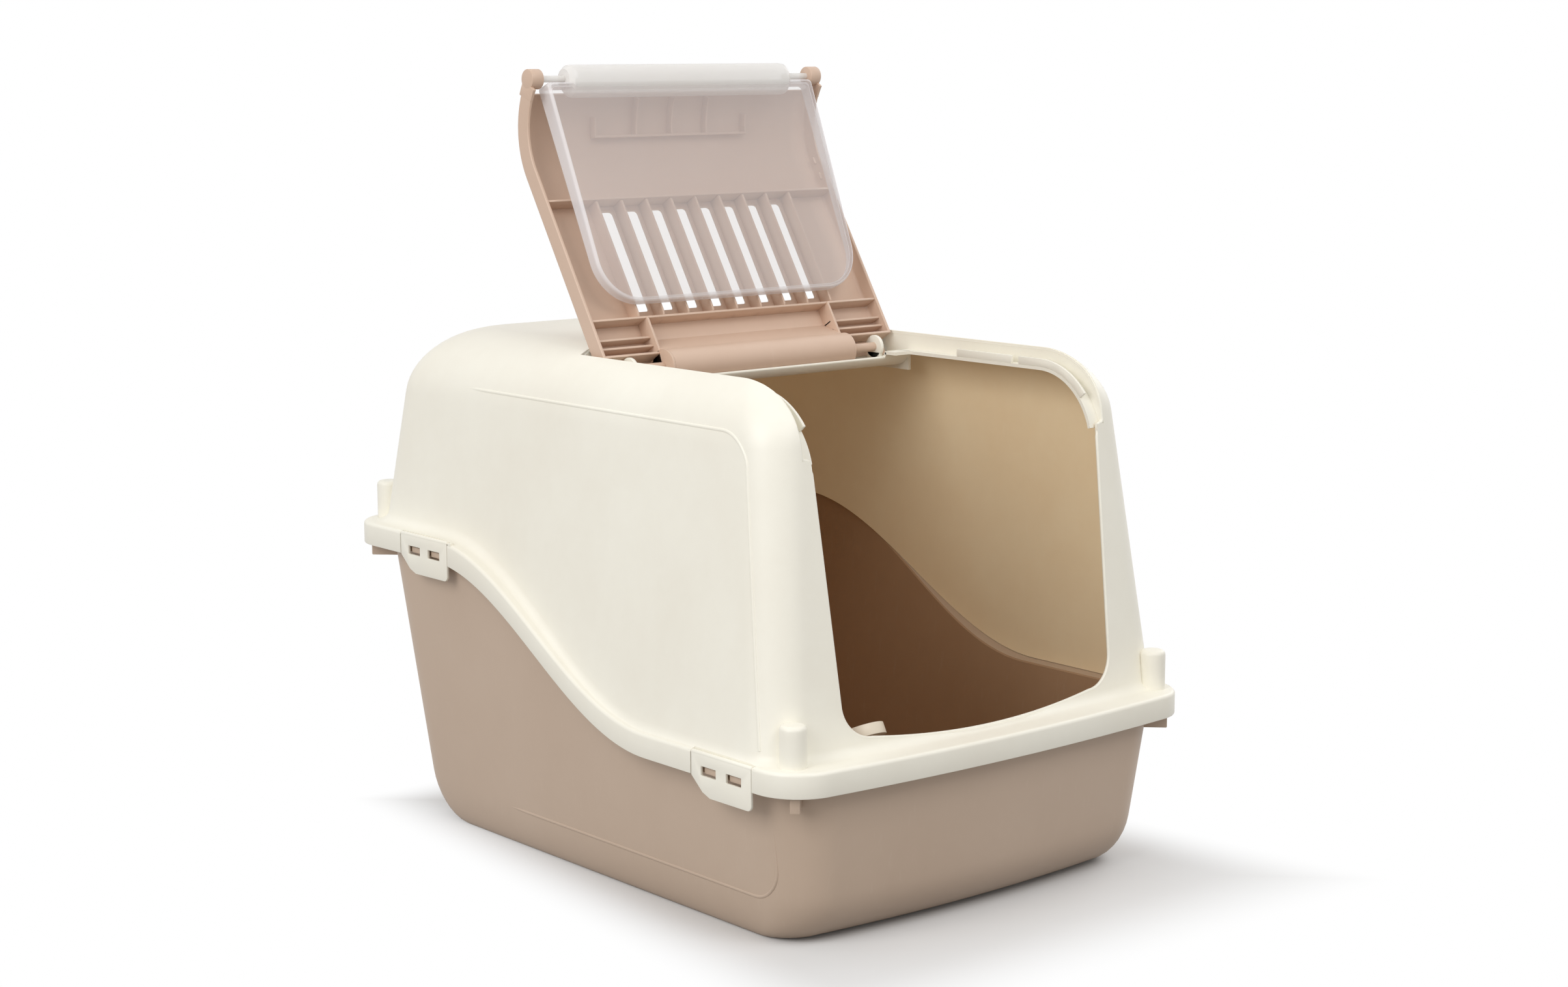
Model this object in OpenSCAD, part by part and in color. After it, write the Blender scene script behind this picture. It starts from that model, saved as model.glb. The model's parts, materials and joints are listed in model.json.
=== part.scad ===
// Cat litter box with a hood: a tray with a rising rim, a hood that stands on the rim,
// four side latches, a slotted lid that swings back over the hood, a swing door that
// hangs from the lid, and a litter scoop.
// Millimetres, +Z up, front at -Y, origin on the ground under the middle of the hood's flange.

/* [Overall] */
// Width over the hood's flange
box_w = 390; // [370:1:420]
// Length over the hood's flange, with the bow of its front
box_l = 555; // [530:1:590]
// Height of the hood's top panel
hood_top = 388; // [380:1:400]
// How far the front bows out at its middle
front_bow = 7.5; // [0:0.5:12]

/* [Rim line] */
// Height of the tray's rim at the front
rim_front = 129.4; // [120:0.2:136]
// Height of the tray's rim at the rear
rim_rear = 231; // [200:1:240]
// Where the rim starts to rise, behind the flange's front corners
rise_from_front = 159; // [140:1:180]
// Where the rim reaches its full height, in front of the flange's rear
rise_from_rear = 123.5; // [121:0.5:150]

/* [Tray] */
// Wall of the tray
tray_wall = 2.5; // [2:0.1:3.5]
// Inset of the tray's side wall lines from the flange, at the ground
tray_in_side = 29; // [28.5:0.5:36]
// Inset of the tray's front wall line from the flange, at the ground
tray_in_front = 25; // [24:0.5:34]
// Inset of the tray's rear wall line from the flange, at the ground
tray_in_rear = 57.5; // [46:0.5:66]
// Outward lean of the tray's sides, per millimetre of height
tray_side_lean = 0.09; // [0.07:0.005:0.09]
// Outward lean of the tray's front and rear
tray_end_lean = 0.12; // [0.09:0.005:0.125]
// Corner radius of the tray
tray_corner = 36; // [32:1:40]
// Height of the rounding over the tray's bottom
tray_round_h = 38; // [30:1:44]
// Width of the rounding at the tray's front and rear
tray_round_end = 36; // [28:1:38]
// Width of the rounding at the tray's sides
tray_round_side = 9; // [6:0.5:12]
// Depth of the lip that hangs from the rim
lip_h = 13; // [9:0.5:13.5]
// Thickness of the rim and its lip
lip_t = 2.2; // [1.8:0.1:2.8]
// Width of the corner tabs
tab_w = 7; // [5:0.5:9]
// Length of the corner tabs below the rim
tab_h = 25; // [20:0.5:28]

/* [Hood] */
// Wall of the hood
hood_wall = 2.4; // [2:0.1:3]
// Inset of the hood's side walls from the flange, at the front rim
wall_in_side = 5; // [5:0.5:9]
// Inset of the hood's front wall from the flange, at the front rim
wall_in_front = 23.8; // [20:0.2:28]
// Inset of the hood's rear wall from the flange, at the rear rim
wall_in_rear = 15.7; // [11.5:0.2:21]
// Inward lean of the side walls, per millimetre of height
side_lean = 0.09; // [0.07:0.005:0.1]
// Inward lean of the front wall
front_lean = 0.125; // [0.11:0.005:0.13]
// Inward lean of the rear wall
rear_lean = 0.165; // [0.1:0.005:0.17]
// Corner radius of the hood
hood_corner = 30; // [26:1:32]
// Width of the rounding round the top panel
top_round_w = 48; // [44:1:50]
// Height of the rounding round the top panel
top_round_h = 50; // [46:1:52]
// Corner radius of the flange
flange_corner = 36; // [34:1:44]
// Thickness of the flange
flange_t = 2.6; // [2.2:0.1:3.2]
// Thickness of the skirt
skirt_t = 2.4; // [2:0.1:2.8]
// Depth of the skirt below the flange
skirt_h = 15; // [12:0.5:18]
// Radius of the corner posts
post_r = 9.5; // [7:0.5:10]
// Height of the corner posts above the flange
post_h = 29; // [15:1:40]

/* [Entry] */
// Half width of the entry above its rounded corners
entry_half = 129; // [120:1:130]
// Inset of the entry's upper end from the lid's sides
entry_in_top = 4; // [3:0.5:6]
// Height of the sill's middle above the flange
sill_up = 2.7; // [1.2:0.1:9]
// Rise of the sill towards its corners
sill_rise = 7.5; // [3:0.5:10]
// Radius of the entry's lower corners
entry_r = 24; // [18:1:30]

/* [Lid] */
// Half width of the lid
lid_half = 140; // [134:0.5:142]
// Depth of the closed lid's outer skin below the hood's top panel
lid_drop = 5; // [4.5:0.1:6]
// Depth of the lid's side walls
lid_depth = 15; // [13:0.5:16]
// Thickness of the lid's skin
lid_skin = 2; // [1.6:0.1:2.4]
// Thickness of the lid's side walls
lid_wall = 2.4; // [2:0.1:3]
// Thickness of the lid's ribs
lid_rib = 1.8; // [1.4:0.1:2.4]
// Radius of the lid's front bend, at its outer skin
lid_bend = 70; // [66:1:72]
// How far the bend reaches in front of the door's pins
bend_front = 9.6; // [9:0.1:11]
// How far the lid swings back from closed, in degrees
lid_swing = 122; // [115:1:122]
// Distance from the lid's hinge to its first cross rib
near_rib = 40; // [36:1:44]
// Distance from the lid's hinge to its second cross rib
far_rib = 140; // [130:1:150]
// Number of slots in the lid
slots = 8; // [4:1:10]
// Distance between the slots
slot_pitch = 23.4; // [18:0.2:24]
// Distance between a slot and the fins beside it
slot_side = 2.3; // [1.8:0.1:5]
// Corner radius of a slot
slot_r = 3; // [1.5:0.5:4]
// Margin between a slot and the first cross rib
slot_margin = 9; // [7:0.5:14]
// Margin between a slot and the second cross rib
slot_margin_far = 4; // [3:0.5:14]

/* [Lid hinge] */
// Distance of the hinge behind the flange's front corners
hinge_back = 271; // [269:0.5:274]
// Radius of the barrel that lies in the trough, which reaches the skin of the lid
barrel_r = 13; // [12:0.5:13.5]
// Half length of the barrel
barrel_half = 87; // [70:1:92]
// Radius of the hinge pins
pin_r = 3.5; // [2.5:0.1:4]
// Inset of the pin brackets from the lid's sides
bracket_in = 22; // [18:1:28]
// Thickness of a pin bracket
bracket_t = 3; // [2.5:0.1:4]
// Radius of a pin bracket
bracket_r = 9; // [7:0.5:9.2]

/* [Ledge] */
// Clearance between the lid's sides and the hood
lid_gap = 3; // [2:0.5:4]
// How far the ledge reaches under the lid
ledge_reach = 6.8; // [6.5:0.1:8]
// Thickness of the ledge
ledge_t = 2.5; // [2:0.1:3]
// Height of the upstand on the ledge
upstand_h = 6; // [4:0.5:6.5]
// Thickness of the upstand
upstand_t = 2.2; // [1.8:0.1:2.4]
// Where the upstand begins, in front of the hinge
upstand_start = 78; // [60:1:90]

/* [Swing door] */
// Inset of the door from the lid's sides, at its top
door_in = 12; // [12:0.5:16]
// How much narrower the door is at its bottom, on each side
door_taper = 4; // [3:0.5:14]
// Length of the door below its pins
door_len = 178; // [160:1:184]
// Thickness of the door
door_t = 1.8; // [1.4:0.1:2.4]
// Depth of the door's raised edge at the top
door_edge_top = 14; // [10:0.5:15]
// Depth of the door's raised edge at the bottom
door_edge_low = 8; // [6:0.5:10]
// Corner radius of the door's lower corners
door_corner = 34; // [20:1:45]
// Radius of the door's rolled head
head_r = 10.5; // [8:0.5:11]
// Inset of the rolled head's ends from the door's sides
head_in = 21; // [16:1:38]
// Radius of the door's pins
door_pin_r = 2.5; // [2:0.1:3]
// Place of the door's pins, in front of the lid's hinge
door_pin_s = 227; // [225:0.5:228]
// Place of the door's pins, below the lid's hinge
door_pin_drop = 30; // [28:0.5:31]
// Radius of the ears that hold the pins
ear_r = 7.5; // [6:0.5:8]
// How far in front of its pins the door's outer face hangs
door_set = 8; // [7:0.5:8.5]
// Height of the door's shoulders below its pins
door_shoulder = 5; // [4:0.5:7]

/* [Latches] */
// Width of a latch
latch_w = 64; // [50:1:70]
// Height of a latch
latch_h = 31; // [26:0.5:34]
// Thickness of a latch
latch_t = 2.2; // [1.8:0.1:2.2]
// Middle of the front latches, behind the flange's front corners
latch_front_in = 74.5; // [71:0.5:82]
// Middle of the rear latches, in front of the flange's rear
latch_rear_in = 111.5; // [100:0.5:116]
// Radius of a latch's hinge roll
roll_r = 1.8; // [1.6:0.1:1.9]
// Radius of a latch's pins
latch_pin_r = 1; // [0.8:0.1:1.1]
// Length of a latch's pins
latch_pin_l = 2.6; // [2:0.1:3]
// Width of a latch's windows
window_w = 16; // [10:0.5:18]
// Height of a latch's windows
window_h = 6.5; // [4:0.5:8]
// Distance between the middles of the windows
window_pitch = 27; // [20:0.5:30]
// Depth of the windows' middles below the hinge roll
window_drop = 11.5; // [9:0.5:13]

/* [Scoop] */
// Width of the scoop's bowl
scoop_w = 104; // [80:1:110]
// Length of the scoop's bowl
scoop_bowl = 112; // [90:1:120]
// Depth of the scoop's bowl
scoop_depth = 26; // [18:1:30]
// Wall of the scoop
scoop_wall = 2.4; // [2:0.1:3]
// Length of the scoop's handle
scoop_handle = 148; // [140:1:150]
// Width of the scoop's handle
scoop_grip = 40; // [28:1:44]
// Thickness of the scoop's handle
scoop_grip_t = 8; // [5:0.5:10]
// Distance of the resting handle's end behind the sill's wall
scoop_back = 1; // [1:0.5:12]
// Distance of the scoop's bowl from the foot of the tray's left side
scoop_side_gap = 2.5; // [1:0.5:40]
// Number of slots in the scoop
scoop_slots = 7; // [3:1:9]

/* [Clearances] */
// Gap between the tray's rim and the hood's flange
seat_gap = 0.3; // [0.3:0.1:0.8]
// Gap between the tray's lip and the hood's skirt
lip_gap = 2; // [2:0.1:2.4]
// Running clearance of pins in their bores
pin_gap = 0.05; // [0.03:0.01:0.1]
// Clearance of turning and resting pieces
run_gap = 0.3; // [0.3:0.1:0.5]
// Gap at the sides of a latch
latch_gap = 0.8; // [0.5:0.1:1.2]

/* [Hidden] */

cream = [0.93, 0.91, 0.86];
taupe = [0.76, 0.66, 0.57];
clear_plastic = [0.9, 0.88, 0.87, 0.6];

// Steps of the plan outline: front edge, each corner, each side, rear edge.
front_steps = 8;
corner_steps = 6;
side_steps = 20;
rear_steps = 4;
side_reach = box_l / 2 - 127.5;
side_y = [for (i = [0:side_steps]) -side_reach + 2 * side_reach * i / side_steps];

// The flange's plan
flange_half = box_w / 2;
flange_front = box_l / 2 - front_bow;
flange_rear = box_l / 2;

// Wall lines of the tray at the ground, and of the hood at the rim
tray_half = flange_half - tray_in_side;
tray_front = flange_front - tray_in_front;
tray_rear = flange_rear - tray_in_rear;
hood_half = flange_half - wall_in_side;
hood_front = flange_front - wall_in_front;
hood_rear = flange_rear - wall_in_rear;

// Places along the box
rise_start = -flange_front + rise_from_front;
rise_end = flange_rear - rise_from_rear;
hinge_y = -flange_front + hinge_back;
latch_front_y = flange_front - latch_front_in;
latch_rear_y = flange_rear - latch_rear_in;
scoop_left = tray_half - tray_round_side - tray_wall - scoop_side_gap - scoop_w / 2;

// The tray's rim lies inside the skirt
lip_out = skirt_t + lip_gap;
lip_half = flange_half - lip_out;

// The sill lies above the front flange
sill = rim_front + seat_gap + flange_t + sill_up;

// The lid's hinge lies one barrel radius below the lid's skin
lid_top = hood_top - lid_drop;
hinge_z = lid_top - barrel_r;
lid_lean = lid_swing - 90;
rim_z = lid_top - lid_depth;
pin_y = hinge_y - door_pin_s;
pin_z = hinge_z - door_pin_drop;
bend_y = pin_y - bend_front + lid_bend;
bend_z = lid_top - lid_bend;
// Angles at which the lid's skin and its side walls end on the bend
plate_end = 54;
wall_end = 64;
// How far the crests of the fins and of the cross ribs lie above the lid's rim
fin_in = 1.5;
rib_in = 1;

// The opening, the ledge and the entry's upper end follow the lid's sides
opening_half = lid_half + lid_gap;
ledge_half = lid_half - ledge_reach;
entry_half_top = lid_half - entry_in_top;
bracket_x = lid_half - bracket_in;
door_half = lid_half - door_in;
door_half_low = door_half - door_taper;
head_half = door_half - head_in;
ledge_gap = 0.5;
ledge_z = rim_z - ledge_gap;
ledge_end = 75;
notch_w = 7;

// Direction from a corner's centre to its post, from the side towards the end
post_turn = 65;

trough_r = barrel_r + run_gap;
trough_t = 2.3;
// Angles, forward from straight up, at which the trough's front lip ends: in its middle,
// and beside the brackets, where the lid's rim lies above it
lip_middle = 122;
lip_side = acos((barrel_r - lid_depth - ledge_gap) / trough_r);
stop_y = hinge_y + trough_r * cos(lid_lean)
       + (hood_top - hinge_z + trough_r * sin(lid_lean)) * tan(lid_lean);
// Height from the door's pins to the fins' crests, less the resting gap
pin_rest = rim_z + fin_in - run_gap - pin_z;
step = 0.05;

// ---- Functions ----

// Height of the tray's rim at a place along the box
function rim(y) =
    y <= rise_start ? rim_front :
    y >= rise_end ? rim_rear :
    rim_front + (rim_rear - rim_front)
    * (1 - cos(180 * (y - rise_start) / (rise_end - rise_start))) / 2;

function mix(a, b, t) = a + (b - a) * t;

// One closed ring round a body. height(y) gives its z. half(z), front(z) and rear(z)
// give the extents of the plan at that z.
function ring(height, half, front, rear, r, bow = front_bow) =
    let (zf = height(-box_l / 2), zr = height(box_l / 2),
         hf = half(zf), hr = half(zr), yf = -front(zf), yr = rear(zr))
    concat(
        [for (i = [0:front_steps]) let (t = 2 * i / front_steps - 1)
            [t * (hf - r), yf - bow * (1 - t * t), zf]],
        [for (i = [1:corner_steps]) let (a = 90 * i / corner_steps - 90)
            [hf - r + r * cos(a), yf + r + r * sin(a), zf]],
        [for (y = side_y) [half(height(y)), y, height(y)]],
        [for (i = [0:corner_steps]) let (a = 90 * i / corner_steps)
            [hr - r + r * cos(a), yr - r + r * sin(a), zr]],
        [for (i = [1:rear_steps]) let (t = 1 - 2 * i / rear_steps)
            [t * (hr - r), yr, zr]],
        [for (i = [1:corner_steps]) let (a = 90 + 90 * i / corner_steps)
            [-hr + r + r * cos(a), yr - r + r * sin(a), zr]],
        [for (i = [side_steps:-1:0]) let (y = side_y[i])
            [-half(height(y)), y, height(y)]],
        [for (i = [0:corner_steps - 1]) let (a = 180 + 90 * i / corner_steps)
            [-hf + r + r * cos(a), yf + r + r * sin(a), zf]]);

// Points of an arc in the plane of the side view, as [y, z]. The angle runs forward
// from straight up.
function arc(cy, cz, r, a0, a1, n = 12) =
    [for (i = [0:n]) let (a = mix(a0, a1, i / n)) [cy - r * sin(a), cz + r * cos(a)]];

// Inset of the tray's wall lines in the rounding above its bottom
function bottom_in(z, w) =
    z >= tray_round_h ? 0 : w * (1 - sqrt(1 - pow(1 - z / tray_round_h, 2)));

// Wall lines of the hood, with the rounding below its top
function top_in(z, top) =
    let (t = (z - top + top_round_h) / top_round_h)
    t <= 0 ? 0 : top_round_w * (1 - sqrt(max(0, 1 - t * t)));
function hood_half_at(z) = hood_half - side_lean * (z - rim_front);
function hood_front_at(z) = hood_front - front_lean * (z - rim_front);
function hood_rear_at(z) = hood_rear - rear_lean * (z - rim_rear);

// ---- Shared shapes ----

// A solid skinned over rings of equal length, closed at both ends
module skin(rings) {
    n = len(rings[0]);
    last = len(rings) - 1;
    polyhedron(
        points = [for (one = rings) each one],
        faces = concat(
            [[for (j = [n - 1:-1:0]) j]],
            [for (i = [0:last - 1], j = [0:n - 1])
                let (a = i * n + j, b = i * n + (j + 1) % n)
                each [[a, b, b + n], [a, b + n, a + n]]],
            [[for (j = [0:n - 1]) last * n + j]]),
        convexity = 8);
}

// A side-view outline, [y, z], carried across the box from x0 to x1
module across(x0, x1) {
    translate([x0, 0, 0]) rotate([90, 0, 90]) linear_extrude(x1 - x0) children();
}

module mirrored() {
    children();
    mirror([1, 0, 0]) children();
}

// A round bar across the box
module bar(x0, x1, y, z, r) {
    translate([x0, y, z]) rotate([0, 90, 0]) cylinder(h = x1 - x0, r = r, $fn = 64);
}

// ---- Tray ----

function tray_ring(height, inset, r) =
    ring(height,
         function (z) tray_half + tray_side_lean * z
                      - bottom_in(z, tray_round_side) - inset,
         function (z) tray_front + tray_end_lean * z
                      - bottom_in(z, tray_round_end) - inset,
         function (z) tray_rear + tray_end_lean * z
                      - bottom_in(z, tray_round_end) - inset,
         r);

function lip_ring(drop, inset) =
    ring(function (y) rim(y) - drop,
         function (z) lip_half - inset,
         function (z) flange_front - lip_out - inset,
         function (z) flange_rear - lip_out - inset,
         flange_corner - lip_out);

module tray_shell() {
    rounding = [0, 2.2, 8, 18, tray_round_h];
    radius = [22, 28, 32, 35, tray_corner];
    shift = function (z) mix(tray_wall, 0, z / tray_round_h);
    skin(concat(
        [for (i = [0:4]) let (z = rounding[i])
            [for (p = tray_ring(function (y) z, tray_wall, radius[i]))
                [p.x, p.y, z + shift(z)]]],
        [tray_ring(function (y) rim(y), tray_wall, tray_corner)],
        [lip_ring(0, 0), lip_ring(lip_h, 0), lip_ring(lip_h, lip_t), lip_ring(lip_t, lip_t)],
        [tray_ring(function (y) rim(y) - lip_t, 0, tray_corner)],
        [for (i = [4:-1:0]) let (z = rounding[i])
            tray_ring(function (y) z, 0, radius[i])]));
}

// Distance along a corner's diagonal, from the centre of the lip's corner to the middle
// of the tray's wall. end_gap is the lip's end less the wall's end at the ground.
function to_wall(z, end_gap) =
    let (centre_in = tray_corner + tray_wall / 2 - (flange_corner - lip_out),
         x = lip_half - tray_half - tray_side_lean * z + centre_in,
         y = end_gap - tray_end_lean * z + centre_in,
         b = (x + y) / sqrt(2))
    sqrt(b * b - x * x - y * y + tray_corner * tray_corner) - b;

// A tab under a corner of the rim, from the wall to the lip
module corner_tab(front) {
    r = flange_corner - lip_out;
    lip_end = (front ? flange_front : flange_rear) - lip_out;
    end_gap = lip_end - (front ? tray_front : tray_rear);
    top = (front ? rim_front : rim_rear) - lip_t / 2;
    low = top - tab_h;
    translate([lip_half - r, (front ? -1 : 1) * (lip_end - r), 0]) rotate(front ? -45 : 45)
        translate([0, tab_w / 2, 0]) rotate([90, 0, 0]) linear_extrude(tab_w)
            polygon([[to_wall(top, end_gap), top], [to_wall(low, end_gap), low],
                     [r - lip_t / 2, low], [r - lip_t / 2, top]]);
}

// The catches behind a latch's windows
module catches(y, z) {
    for (s = [-0.5, 0.5])
        translate([lip_half - lip_t / 2, y + s * window_pitch - window_w / 2 + 1,
                   z - window_drop - window_h / 2 + 1])
            cube([lip_t / 2 + lip_gap - run_gap, window_w - 2, window_h - 2]);
}

module tray() {
    color(taupe) {
        tray_shell();
        mirrored() {
            corner_tab(true);
            corner_tab(false);
            catches(-latch_front_y, latch_axis(rim_front));
            catches(latch_rear_y, latch_axis(rim_rear));
        }
    }
}

// ---- Hood ----

function flange_ring(drop, inset, r) =
    ring(function (y) rim(y) + seat_gap + flange_t - drop,
         function (z) flange_half - inset,
         function (z) flange_front - inset,
         function (z) flange_rear - inset,
         r - inset);

function wall_ring(height, inset, top = hood_top, r = hood_corner) =
    ring(height,
         function (z) hood_half_at(z) - top_in(z, top) - inset,
         function (z) hood_front_at(z) - top_in(z, top) - inset,
         function (z) hood_rear_at(z) - top_in(z, top) - inset,
         r);

// The rings of the wall and top, from the top panel down to the flange
function wall_rings(inset, top, foot) = concat(
    [for (a = [90:-14:6]) let (z = top - top_round_h * (1 - sin(a)))
        wall_ring(function (y) z, inset, top)],
    [for (t = [0:0.25:0.75])
        wall_ring(function (y) mix(top - top_round_h, rim(y) + foot, t), inset, top)]);

module hood_shell() {
    foot = seat_gap + flange_t;
    inner = wall_rings(hood_wall, hood_top - hood_wall, foot);
    skin(concat(
        wall_rings(0, hood_top, foot + 6),
        [wall_ring(function (y) rim(y) + foot + 6, 0),
         wall_ring(function (y) rim(y) + foot + 1.5, -0.9),
         wall_ring(function (y) rim(y) + foot, -2.2),
         flange_ring(0, 2.8, flange_corner),
         flange_ring(0.9, 0.8, flange_corner),
         flange_ring(2.8, 0, flange_corner),
         flange_ring(flange_t + skirt_h, 0, flange_corner),
         flange_ring(flange_t + skirt_h, skirt_t, flange_corner),
         flange_ring(flange_t, skirt_t, flange_corner),
         wall_ring(function (y) rim(y) + seat_gap, hood_wall)],
        [for (i = [len(inner) - 1:-1:0]) inner[i]]));
}

// The space inside the hood's outer face, a little smaller, for trimming what is inside
module hood_body() {
    inset = 0.6;
    skin(concat(
        wall_rings(inset, hood_top - inset, 6),
        [wall_ring(function (y) rim(y) + 6, inset)]));
}

// The front entry, cut along the box
module entry_cut() {
    corner_z = sill + sill_rise + entry_r;
    rise = function (x) sill + sill_rise * pow(x / (entry_half - entry_r), 2);
    half = concat(
        [for (i = [0:5]) let (x = (entry_half - entry_r) * i / 5) [x, rise(x)]],
        [for (a = [-75:15:0])
            [entry_half - entry_r + entry_r * cos(a), corner_z + entry_r * sin(a)]],
        [[entry_half_top, pin_z - ear_r], [entry_half_top, pin_z]]);
    translate([0, -hood_front + 60, 0]) rotate([90, 0, 0]) linear_extrude(120)
        polygon(concat(half, [for (i = [len(half) - 1:-1:1]) [-half[i].x, half[i].y]]));
}

// The top opening under the lid, cut across the box
module lid_cut() {
    low = pin_z - ear_r - 1.2;
    across(-opening_half, opening_half)
        polygon([[stop_y, hood_top + 10], [stop_y, hinge_z - 20], [bend_y, hinge_z - 20],
                 [bend_y - 30, low], [-box_l, low], [-box_l, hood_top + 10]]);
}

// A band that follows the closed lid, between two depths below its skin
module lid_band(d0, d1, from_y, end_angle) {
    polygon(concat(
        [[from_y, lid_top - d0]], arc(bend_y, bend_z, lid_bend - d0, 0, end_angle),
        arc(bend_y, bend_z, lid_bend - d1, end_angle, 0), [[from_y, lid_top - d1]]));
}

// Ledge and upstand at one side, which the lid's rim lies on
module ledge() {
    depth = lid_top - ledge_z;
    start = hinge_y - upstand_start;
    notch = hinge_y - far_rib - lid_rib / 2;
    across(ledge_half, opening_half + 1)
        lid_band(depth, depth + ledge_t, hinge_y - trough_r, ledge_end);
    difference() {
        across(ledge_half, ledge_half + upstand_t)
            lid_band(depth - upstand_h, depth + step, start, 50);
        translate([ledge_half - 1, notch - notch_w / 2, ledge_z])
            cube([upstand_t + 2, notch_w, upstand_h + 1]);
    }
    // Corner between the ledge and the trough
    translate([bracket_x, hinge_y - trough_r - 12, ledge_z - ledge_t])
        cube([ledge_half - bracket_x + 1, 12, ledge_t]);
}

// Side of the opening, from the ledge up to the hood's skin
module cheek() {
    depth = lid_top - ledge_z + ledge_t;
    across(opening_half, opening_half + hood_wall)
        polygon(concat(
            [[stop_y + 1, hood_top + 5], [stop_y + 1, ledge_z - ledge_t - 14],
             [hinge_y - trough_r, ledge_z - ledge_t - 14],
             [hinge_y - trough_r, ledge_z - ledge_t]],
            arc(bend_y, bend_z, lid_bend - depth, 0, ledge_end),
            [[-box_l / 2, bend_z + 14], [-box_l / 2, hood_top + 5]]));
}

// Trough for the lid's barrel, and the slope that stops the open lid
module trough(front_angle) {
    outer = trough_r + trough_t;
    back = 270 - lid_swing + 90;
    lift = (hood_top - hinge_z) / cos(lid_lean) + outer * tan(lid_lean) + 4;
    polygon(concat(
        arc(hinge_y, hinge_z, trough_r, front_angle, back, 14),
        [[hinge_y + trough_r * cos(lid_lean) + lift * sin(lid_lean),
          hinge_z - trough_r * sin(lid_lean) + lift * cos(lid_lean)],
         [hinge_y + outer * cos(lid_lean) + lift * sin(lid_lean),
          hinge_z - outer * sin(lid_lean) + lift * cos(lid_lean)]],
        arc(hinge_y, hinge_z, outer, back, front_angle, 14)));
}

// Bracket that carries a hinge pin, in the trough
module bracket() {
    bar(bracket_x, bracket_x + bracket_t, hinge_y, hinge_z, bracket_r);
    intersection() {
        bar(bracket_x, bracket_x + bracket_t, hinge_y, hinge_z, trough_r + trough_t / 2);
        translate([bracket_x - 1, hinge_y - 7, hinge_z - 30]) cube([bracket_t + 2, 14, 26]);
    }
}

// Half-round post on a corner of the hood
module post(front) {
    z = front ? rim_front : rim_rear;
    half = hood_half_at(z) - hood_corner;
    y = front ? -hood_front_at(z) + hood_corner : hood_rear_at(z) - hood_corner;
    turn = front ? -post_turn : post_turn;
    foot = z + seat_gap + flange_t;
    lean = side_lean * cos(turn) + (front ? front_lean : rear_lean) * sin(post_turn);
    inner = hood_corner - hood_wall / 2 - 0.3;
    difference() {
        translate([half, y, foot - 1]) rotate(turn) translate([hood_corner + 3, 0, 0])
            cylinder(h = post_h + 1, r = post_r, $fn = 48);
        translate([half, y, foot - 2])
            cylinder(h = post_h + 4, r1 = inner + 2 * lean, r2 = inner - lean * (post_h + 2),
                     $fn = 64);
    }
}

// Height of a latch's hinge line above a rim
function latch_axis(z) = z + seat_gap + flange_t - roll_r;
latch_x = flange_half - roll_r;

// Room for a latch in the flange and skirt
module latch_cut(y, z) {
    room = latch_w + 2 * latch_gap;
    translate([latch_x - roll_r - 0.4, y - room / 2, z - 2 * skirt_h])
        cube([20, room, 2 * skirt_h + 10]);
}

// Blocks that carry a latch's pins
module latch_blocks(y, z) {
    for (s = [-1, 1])
        translate([lip_half + 0.6, y + s * (latch_w / 2 + latch_gap + 2) - 2, z - 3])
            cube([flange_half - 0.4 - lip_half - 0.6, 4, 3 + roll_r - 0.8]);
}

module latch_bores(y, z) {
    length = latch_w + 2 * (latch_pin_l + 0.4);
    translate([latch_x, y + length / 2, z]) rotate([90, 0, 0])
        cylinder(h = length, r = latch_pin_r + pin_gap, $fn = 32);
}

module hood() {
    front_axis = latch_axis(rim_front);
    rear_axis = latch_axis(rim_rear);
    color(cream) difference() {
        union() {
            difference() {
                union() {
                    hood_shell();
                    mirrored() {
                        post(true);
                        post(false);
                    }
                }
                entry_cut();
                lid_cut();
                mirrored() {
                    latch_cut(-latch_front_y, front_axis);
                    latch_cut(latch_rear_y, rear_axis);
                }
            }
            intersection() {
                union() {
                    across(-opening_half - 1, opening_half + 1) trough(lip_middle);
                    mirrored() {
                        across(bracket_x, opening_half + 1) trough(lip_side);
                        cheek();
                        ledge();
                    }
                }
                hood_body();
            }
            mirrored() {
                bracket();
                latch_blocks(-latch_front_y, front_axis);
                latch_blocks(latch_rear_y, rear_axis);
            }
        }
        mirrored() {
            bar(bracket_x - 1, bracket_x + bracket_t + 1, hinge_y, hinge_z, pin_r + pin_gap);
            latch_bores(-latch_front_y, front_axis);
            latch_bores(latch_rear_y, rear_axis);
        }
    }
}

// ---- Lid ----

// Places on the closed lid run forward from the hinge
function lid_y(s) = hinge_y - s;

// A rib across the lid, from x0 to x1, with its crest a little above the rim
module cross_rib(s, x0, x1, crest = rib_in) {
    translate([x0, lid_y(s) - lid_rib, rim_z + crest])
        cube([x1 - x0, lid_rib, lid_depth - crest - lid_skin / 2]);
}

// A thin rib on the bend, between two angles
module bend_rib(x, a0, a1, depth = 6) {
    across(x - lid_rib / 2, x + lid_rib / 2)
        polygon(concat(arc(bend_y, bend_z, lid_bend - 1, a0, a1, 6),
                       arc(bend_y, bend_z, lid_bend - depth - lid_skin, a1, a0, 6)));
}

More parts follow.
